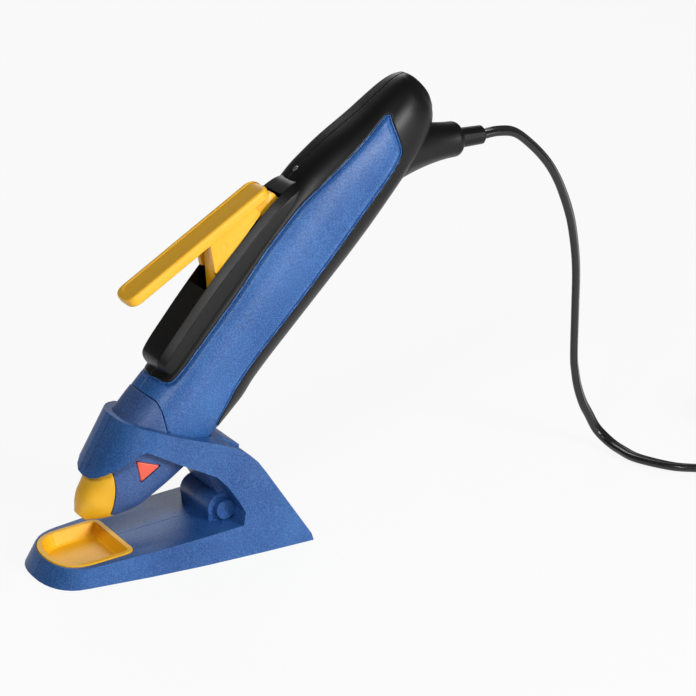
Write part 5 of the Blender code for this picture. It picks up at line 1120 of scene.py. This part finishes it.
@dataclass
class FingerLever:
    """Yellow finger lever: long bar with a sunk top panel, two webs and a pivot block."""

    front: float = 74.6 * MM
    rear: float = 142.8 * MM
    top_front: float = 46.3 * MM
    top_rear: float = 29.8 * MM
    half_width: float = 7.0 * MM
    thickness: float = 4.4 * MM
    margin: float = 1.7 * MM
    sink: float = 0.5 * MM
    pin: tuple[float, float] = (114.2 * MM, 28.6 * MM)
    web_sides: tuple[float, float] = (4.6 * MM, 6.93 * MM)
    web: Table = ((111.4, 33.8, 0.4), (111.2, 36.0, 0.4), (133.0, 31.4, 0.6), (133.6, 24.6, 1.0),
                  (106.0, 22.6, 0.9), (104.2, 23.8, 0.7))
    block: Table = ((126.5, 27.6, 0.5), (126.5, 31.5, 0.5), (138.4, 28.6, 2.0), (142.7, 25.2, 2.0),
                    (142.8, 16.5, 2.6), (140.0, 13.7, 2.4), (135.4, 14.1, 1.8), (132.8, 20.1, 2.6))

    def bar(self) -> Piece:
        """Loft of rounded rectangles along the bar, narrowed to round ends.

        The half width follows a superellipse near each end, and the thickness shrinks with it.
        """
        length = math.hypot(self.rear - self.front, self.top_front - self.top_rear)
        heading = np.array([self.rear - self.front, self.top_rear - self.top_front]) / length
        up = np.array([-heading[1], heading[0]])
        first = 5.2 * (1.0 - np.cos(np.linspace(0.02, HALF_TURN, 34)))
        last = 5.2 * (1.0 - np.sin(np.linspace(0.0, HALF_TURN - 0.02, 30)))
        walk = np.concatenate([first, np.linspace(5.4, 8.0, 12),
                               np.linspace(8.2, length / MM - 5.4, 90), length / MM - last]) * MM
        rings = []
        across = np.concatenate([np.linspace(-1.0, -0.93, 3), np.linspace(-0.90, -0.66, 13),
                                 np.linspace(-0.6, 0.6, 15), np.linspace(0.66, 0.90, 13),
                                 np.linspace(0.93, 1.0, 3)])
        for spot in walk:
            ends = []
            for reach, radius in ((spot, 5.2 * MM), (length - spot, 4.6 * MM)):
                share = np.clip(1.0 - reach / radius, 0.0, 1.0)
                ends.append((1.0 - share ** 2.5) ** (1.0 / 2.5))
            full = min(ends)
            wide = self.half_width * (0.30 + 0.70 * full)
            thin = self.thickness * (0.45 + 0.55 * full)
            rise = self.thickness * 0.30 * (1.0 - full)
            corners = [(wide, -thin), (wide, 0.0), (-wide, 0.0), (-wide, -thin)]
            round_edge = min(1.1 * MM, 0.42 * thin, 0.42 * wide)
            radii = [0.8 * round_edge, round_edge, round_edge, 0.8 * round_edge]
            outline = rounded_polygon(corners, radii, 7)
            side_start, side_end = outline[:14], outline[14:]
            flat = (wide - round_edge) * across[::-1]
            face = np.column_stack([flat, self.panel_level(spot, flat, wide)])
            ring = np.vstack([side_start, face[1:-1], side_end])
            base = np.array([self.front, self.top_front]) + heading * spot
            height = ring[:, 1] - rise
            rings.append(np.column_stack([base[0] + up[0] * height, ring[:, 0],
                                          base[1] + up[1] * height]))
        return ring_loft("lever_bar", PEN.place(np.array(rings)), SHELL_SHARP)

    def panel_level(self, spot: float, side: np.ndarray, wide: float) -> np.ndarray:
        """Depth of the sunk panel: it starts in a round end behind the bar's own."""
        start = 2.3 * MM
        reach = np.clip((spot - start) / (4.2 * MM), 0.0, 1.0)
        half = (self.half_width - self.margin) * (1.0 - (1.0 - reach) ** 2.4) ** (1.0 / 2.4)
        inside = smooth_step(half - np.abs(side), -0.05 * MM, 0.30 * MM)
        return -self.sink * inside if spot > start else np.zeros_like(side)

    def plate(self, name: str, corners: Table, radii: Sequence[float], low: float, high: float,
              edge: float) -> Piece:
        """Plate along Y, its two rims rounded.

        Args:
            name: name of the piece.
            corners: corners of its outline as (station, height).
            radii: radius of each corner.
            low: side at which it starts.
            high: side at which it ends.
            edge: radius of the rims.

        Returns:
            The new object.
        """
        outline = rounded_polygon(np.asarray(corners), radii, 9)
        centre = outline.mean(0)
        size = np.abs(outline - centre).max()
        rings = []
        for depth in (1.0, 0.55, 0.2, 0.0):
            pull = 1.0 - edge * (1.0 - math.sqrt(1.0 - depth ** 2)) / size
            rings.append((low + edge * (1.0 - depth), pull))
        rings += [(low + high - spot, pull) for spot, pull in rings[::-1]]
        solid = []
        for spot, pull in rings:
            pulled = centre + (outline - centre) * pull
            solid.append(np.column_stack([pulled[:, 0], np.full(len(pulled), spot), pulled[:, 1]]))
        return ring_loft(name, PEN.place(np.array(solid)), SHELL_SHARP)

    def build(self) -> list[Piece]:
        """Join bar, webs and pivot block into one moulding and press the round mark into the web."""
        piece = self.bar()
        web, block = np.array(self.web) * MM, np.array(self.block) * MM
        near, far = self.web_sides
        plates = [self.plate("web_1", web[:, :2], web[:, 2], -far, -near, 0.3 * MM),
                  self.plate("web_2", web[:, :2], web[:, 2], near, far, 0.3 * MM),
                  self.plate("pivot_block", block[:, :2], block[:, 2], -4.9 * MM, 4.9 * MM, 0.5 * MM)]
        cut(piece, plates, "UNION", sharp=40.0)
        cut(piece, [self.mark("round_mark", *self.pin, -6.95 * MM)], sharp=40.0)
        piece.name = "finger_lever"
        return [dress(piece, YELLOW, "trigger", ["lever"])]

    def mark(self, name: str, station: float, height: float, side: float) -> Piece:
        """Thin ring that presses a circle into the web."""
        turn = np.linspace(0.0, FULL_TURN, 40, endpoint=False)
        around = np.linspace(0.0, FULL_TURN, 8, endpoint=False)
        spread_out = 1.6 * MM + 0.17 * MM * np.cos(around)[None]
        grid = np.stack([station + spread_out * np.cos(turn)[:, None],
                         np.repeat(side + 0.17 * MM * np.sin(around)[None], len(turn), 0),
                         height + spread_out * np.sin(turn)[:, None]], -1)
        closed = np.vstack([grid, grid[:1]])
        return make_object(name, PEN.place(closed), quads(*closed.shape[:2], closed=True).tolist())


# Stand and tray.


@dataclass
class DeskStand:
    """Two blue halves of the stand, with eased edges."""

    ease: float = 0.9 * MM

    def build(self) -> list[Piece]:
        """Ease the edges of both halves and dress them."""
        made = []
        for name in ("stand_left", "stand_right"):
            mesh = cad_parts[name].data.copy()
            work = bmesh.new()
            work.from_mesh(mesh)
            bmesh.ops.remove_doubles(work, verts=work.verts, dist=WELD)
            bmesh.ops.dissolve_limit(work, angle_limit=math.radians(0.6), verts=work.verts,
                                     edges=work.edges)
            work.to_mesh(mesh)
            work.free()
            piece = bpy.data.objects.new(name.replace("stand", "stand_half"), mesh)
            bpy.context.scene.collection.objects.link(piece)
            ease = piece.modifiers.new("eased_edges", "BEVEL")
            ease.width = self.ease
            ease.segments = 3
            ease.limit_method = "ANGLE"
            ease.angle_limit = math.radians(28.0)
            ease.harden_normals = False
            shade(piece, 35.0)
            made.append(dress(piece, STAND_BLUE, "stand", [name]))
        return made


# Cord.


@dataclass
class MainsCord:
    """Flat twin mains cord: free stretch, two layers of coil and the run to the plug."""

    width: float = 5.2 * MM
    thickness: float = 3.4 * MM
    exit: Triple = (0.1070, 0.0, 0.1477)
    shift: float = 0.095
    route: Table = (
        (0.2090, 0.0, 0.1481), (0.2175, 0.0, 0.1464), (0.2265, 0.0, 0.1394), (0.2338, 0.0, 0.1316),
        (0.2387, 0.0, 0.1241), (0.2422, 0.0, 0.1167), (0.2450, 0.0, 0.1094), (0.2470, 0.0, 0.1022),
        (0.2489, 0.0, 0.0914), (0.2498, 0.0, 0.0808), (0.2499, 0.0, 0.0666), (0.2500, 0.0, 0.0451),
        (0.2508, 0.0, 0.0377), (0.2524, 0.0, 0.0302), (0.2553, 0.0, 0.0223), (0.2590, 0.0004, 0.0160),
        (0.2625, 0.0, 0.0095), (0.2650, -0.0020, 0.0058), (0.2664, -0.0068, 0.0034),
        (0.2666, -0.0137, 0.0028), (0.2673, -0.0244, 0.0027), (0.2743, -0.0386, 0.0027),
        (0.2821, -0.0456, 0.0027), (0.2915, -0.0517, 0.0027), (0.3035, -0.0562, 0.0027),
        (0.3180, -0.0577, 0.0027), (0.3330, -0.0562, 0.0027),
    )
    coil_centre: tuple[float, float] = (0.3530, -0.0200)
    coil_radius: float = 0.0330
    turns_per_layer: float = 3.55
    pitch: float = 5.8 * MM
    gap: float = 0.3 * MM
    tail: float = 26.0 * MM
    plug_half_height: float = 6.5 * MM

    def coil(self) -> np.ndarray:
        """Spiral in on the desk, climb where it turns back, spiral out on top, then sink to the plug.

        The radius falls evenly with the turn and rises again after the turning back. The angle starts
        a quarter turn before the X axis and rises.
        """
        radius = self.width / 2.0
        turns = 2.0 * self.turns_per_layer
        turn = turns * np.linspace(0.0, 1.0, round(turns * 20) + 1)
        back = turn - self.turns_per_layer
        spread_out = self.coil_radius - self.pitch * (self.turns_per_layer - np.abs(back))
        climb = np.clip(2.0 * back + 0.5, 0.0, 1.0)
        angle = 2.0 * math.pi * turn - HALF_TURN
        ground = radius + self.gap / 3.0
        ring = np.column_stack([self.coil_centre[0] + spread_out * np.cos(angle),
                                self.coil_centre[1] + spread_out * np.sin(angle),
                                ground + (self.width + 2.0 * self.gap) * climb])
        away = unit((ring[-1] - ring[-2]) * (1.0, 1.0, 0.0))
        share = np.linspace(0.0, 1.0, 11)[1:, None]
        fall = (ring[-1][2] - self.plug_half_height - self.gap) * (3.0 * share ** 2 - 2.0 * share ** 3)
        run = ring[-1] + away * self.tail * share - UPWARDS * fall
        last = run[-1] + away * self.width
        return np.vstack([ring, run, last])

    def centre_line(self) -> np.ndarray:
        """The whole cord's middle line in the part's frame."""
        coil = self.coil()
        along = unit(coil[0] - coil[1])
        start = coil[0] + along * self.width
        knots = [(self.exit[0] + self.shift, self.exit[1], self.exit[2]), *self.route,
                 tuple(start + along * self.width)]
        points = np.vstack([through_points(knots, 2.0 * MM), start, coil])
        return through_points(points - np.array([self.shift, 0.0, 0.0]), 1.5 * MM)

    def build(self) -> list[Piece]:
        """Sweep the twin section along the line, turning slowly where the cord hangs free."""
        line = self.centre_line()
        step = unit(np.gradient(line, axis=0))
        walked = walked_lengths(line)
        level = np.cross(step, UPWARDS)
        side = self.carried(step, level[0])
        flat = np.cross(step, side)
        twist = np.interp(walked / MM, (0.0, 14.0, 60.0, 130.0, 190.0, 235.0, 260.0),
                          np.radians((8.0, 22.0, 48.0, 40.0, 62.0, 40.0, 0.0)))
        settle = smooth_step(walked, 235.0 * MM, 265.0 * MM)
        across = np.cos(twist)[:, None] * side + np.sin(twist)[:, None] * flat
        upright = unit(level)
        upright *= np.sign(np.sum(upright * across, axis=1, keepdims=True))
        across = across * (1.0 - settle[:, None]) + upright * settle[:, None]
        across -= step * np.sum(across * step, axis=1, keepdims=True)
        across = unit(across)
        over = np.cross(step, across)
        angle = np.linspace(0.0, FULL_TURN, 28, endpoint=False)
        pinch = 1.0 - 0.16 * np.exp(-(np.cos(angle) / 0.22) ** 2)
        half_wide, half_thick = self.width / 2.0, self.thickness / 2.0
        wide = half_wide * np.sign(np.cos(angle)) * np.abs(np.cos(angle)) ** 0.8
        thick = half_thick * np.sign(np.sin(angle)) * np.abs(np.sin(angle)) ** 0.8 * pinch
        rings = (line[:, None] + wide[None, :, None] * across[:, None]
                 + thick[None, :, None] * over[:, None])
        piece = ring_loft("mains_cord", rings, 60.0)
        dress(piece, JACKET, "", ["cord", "cord_coil"])
        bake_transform(piece)
        return [piece]

    def carried(self, step: np.ndarray, start: np.ndarray) -> np.ndarray:
        """Side direction carried along the line with no turn of its own."""
        side = np.array(start, float)
        found = []
        for way in step:
            side = side - way * float(side @ way)
            side /= np.linalg.norm(side)
            found.append(side.copy())
        return np.array(found)


# Solids that keep their own form.


@dataclass
class InnerWorks:
    """Solids of the part that stay as they are and get a finish."""

    finishes: tuple = (
        # Drip tray and link get the darker copy of the yellow: painted shade where they sit in shadow.
        (SHADED_YELLOW, ("drip_tray", "link")),
        (STEEL, ("stand_screw_1", "stand_screw_2", "stand_screw_3", "housing_screw_1", "housing_screw_2",
                 "housing_screw_3", "housing_screw_4", "link_pin", "lever_pivot_pin", "carriage_pin",
                 "return_spring", "heater_clamp")),
        (BRASS, ("nozzle", "plug_pin_left", "plug_pin_right")),
        (ALUMINIUM, ("melt_chamber",)),
        (CERAMIC, ("heater_plate",)),
        (SILICONE, ("stick_sleeve", "stick_gripper")),
        (BLACK, ("guide_tube", "entry_ring", "feed_carriage", "cord_clamp", "plug")),
        (RUBBER, ("strain_relief",)),
        (SLEEVE_RED, ("heater_wire_left", "heater_wire_right")),
        (LENS, ("indicator_lens",)),
    )

    def build(self) -> None:
        """Hang each finish on its solids."""
        for finish, names in self.finishes:
            for name in names:
                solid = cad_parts[name]
                solid.data.materials.clear()
                solid.data.materials.append(finish.material())
                LOG.info("%s: %s", name, finish.name)


# Studio.


@dataclass
class Studio:
    """Camera at the photograph's angle, pale floor and soft lamps."""

    eye: Triple = (-0.44470, -0.84764, 0.42412)
    azimuth: float = -30.0
    elevation: float = 20.0
    lens: float = 134.698

    def camera(self) -> None:
        """Camera without roll that looks along the photograph's direction."""
        data = bpy.data.cameras.new("camera")
        data.lens = self.lens
        data.sensor_width = 36.0
        data.clip_start = 0.01
        data.clip_end = 50.0
        camera = bpy.data.objects.new("camera", data)
        camera.location = self.eye
        camera.rotation_euler = (math.radians(90.0 - self.elevation), 0.0, math.radians(self.azimuth))
        bpy.context.scene.collection.objects.link(camera)
        bpy.context.scene.camera = camera

    def floor(self) -> None:
        """Pale floor that keeps a faint shadow and reads as white to the camera."""
        mesh = bpy.data.meshes.new("floor")
        reach = 3.0
        corners = [(x * reach, y * reach, 0.0) for x, y in ((-1, -1), (1, -1), (1, 1), (-1, 1))]
        mesh.from_pydata(corners, [], [(0, 1, 2, 3)])
        floor = bpy.data.objects.new("floor", mesh)
        bpy.context.scene.collection.objects.link(floor)
        material = bpy.data.materials.new("floor_white")
        material.use_nodes = True
        tree = material.node_tree
        shader = tree.nodes["Principled BSDF"]
        shader.inputs["Base Color"].default_value = (0.86, 0.86, 0.86, 1.0)
        shader.inputs["Roughness"].default_value = 0.9
        glow = tree.nodes.new("ShaderNodeEmission")
        glow.inputs["Color"].default_value = (1.0, 1.0, 1.0, 1.0)
        mix = tree.nodes.new("ShaderNodeMixShader")
        seen = self.seen(tree)
        part = tree.nodes.new("ShaderNodeMath")
        part.operation = "MULTIPLY"
        part.inputs[1].default_value = 0.90
        link(tree, seen, part.inputs[0])
        link(tree, part.outputs[0], mix.inputs["Fac"])
        link(tree, shader.outputs["BSDF"], mix.inputs[1])
        link(tree, glow.outputs["Emission"], mix.inputs[2])
        link(tree, mix.outputs["Shader"], tree.nodes["Material Output"].inputs["Surface"])
        mesh.materials.append(material)

    def seen(self, tree: Tree) -> Socket:
        """One for rays from the camera, from gloss and through clear plastic."""
        path = tree.nodes.new("ShaderNodeLightPath")
        total = path.outputs["Is Camera Ray"]
        for name in ("Is Glossy Ray", "Is Transmission Ray"):
            more = tree.nodes.new("ShaderNodeMath")
            more.operation = "MAXIMUM"
            link(tree, total, more.inputs[0])
            link(tree, path.outputs[name], more.inputs[1])
            total = more.outputs[0]
        return total

    def world(self) -> None:
        """White to the camera, softer for lighting."""
        world = bpy.data.worlds.new("studio")
        world.use_nodes = True
        tree = world.node_tree
        background = tree.nodes["Background"]
        background.inputs["Color"].default_value = (1.0, 1.0, 1.0, 1.0)
        path = tree.nodes.new("ShaderNodeLightPath")
        strength = spread(tree, path.outputs["Is Camera Ray"], 0.0, 1.0, 0.11, 1.0)
        link(tree, strength, background.inputs["Strength"])
        bpy.context.scene.world = world

    def lamp(self, name: str, place: Triple, aim: Triple,
             size: float, watts: float) -> None:
        """Soft square lamp that points at a spot."""
        data = bpy.data.lights.new(name, "AREA")
        data.shape = "SQUARE"
        data.size = size
        data.energy = watts
        lamp = bpy.data.objects.new(name, data)
        lamp.location = place
        way = unit(np.array(place) - np.array(aim))
        lamp.rotation_euler = (math.acos(way[2]), 0.0, math.atan2(way[1], way[0]) + HALF_TURN)
        bpy.context.scene.collection.objects.link(lamp)

    def build(self) -> None:
        """Set camera, floor, world and lamps."""
        self.camera()
        self.floor()
        self.world()
        self.lamp("key", (0.42, -1.10, 0.42), (0.0, 0.0, 0.08), 0.42, 11.5)
        self.lamp("top_left", (-0.66, -0.72, 0.86), (0.0, 0.0, 0.08), 0.22, 5.6)
        self.lamp("back_rim", (0.45, 0.95, 0.75), (0.0, 0.0, 0.08), 0.5, 3.0)
        scene = bpy.context.scene
        scene.view_settings.view_transform = "Standard"


def main() -> None:
    """Build everything in order."""
    logging.basicConfig(level=logging.INFO, format="%(message)s")
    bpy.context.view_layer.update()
    Studio().build()
    MainsCord().build()
    InnerWorks().build()
    DeskStand().build()
    BlueHousing().build()
    BlackGrip().build()
    LeverHump().build()
    CordSnout().build()
    NoseCover().build()
    FingerLever().build()


if __name__ == "__main__":
    main()
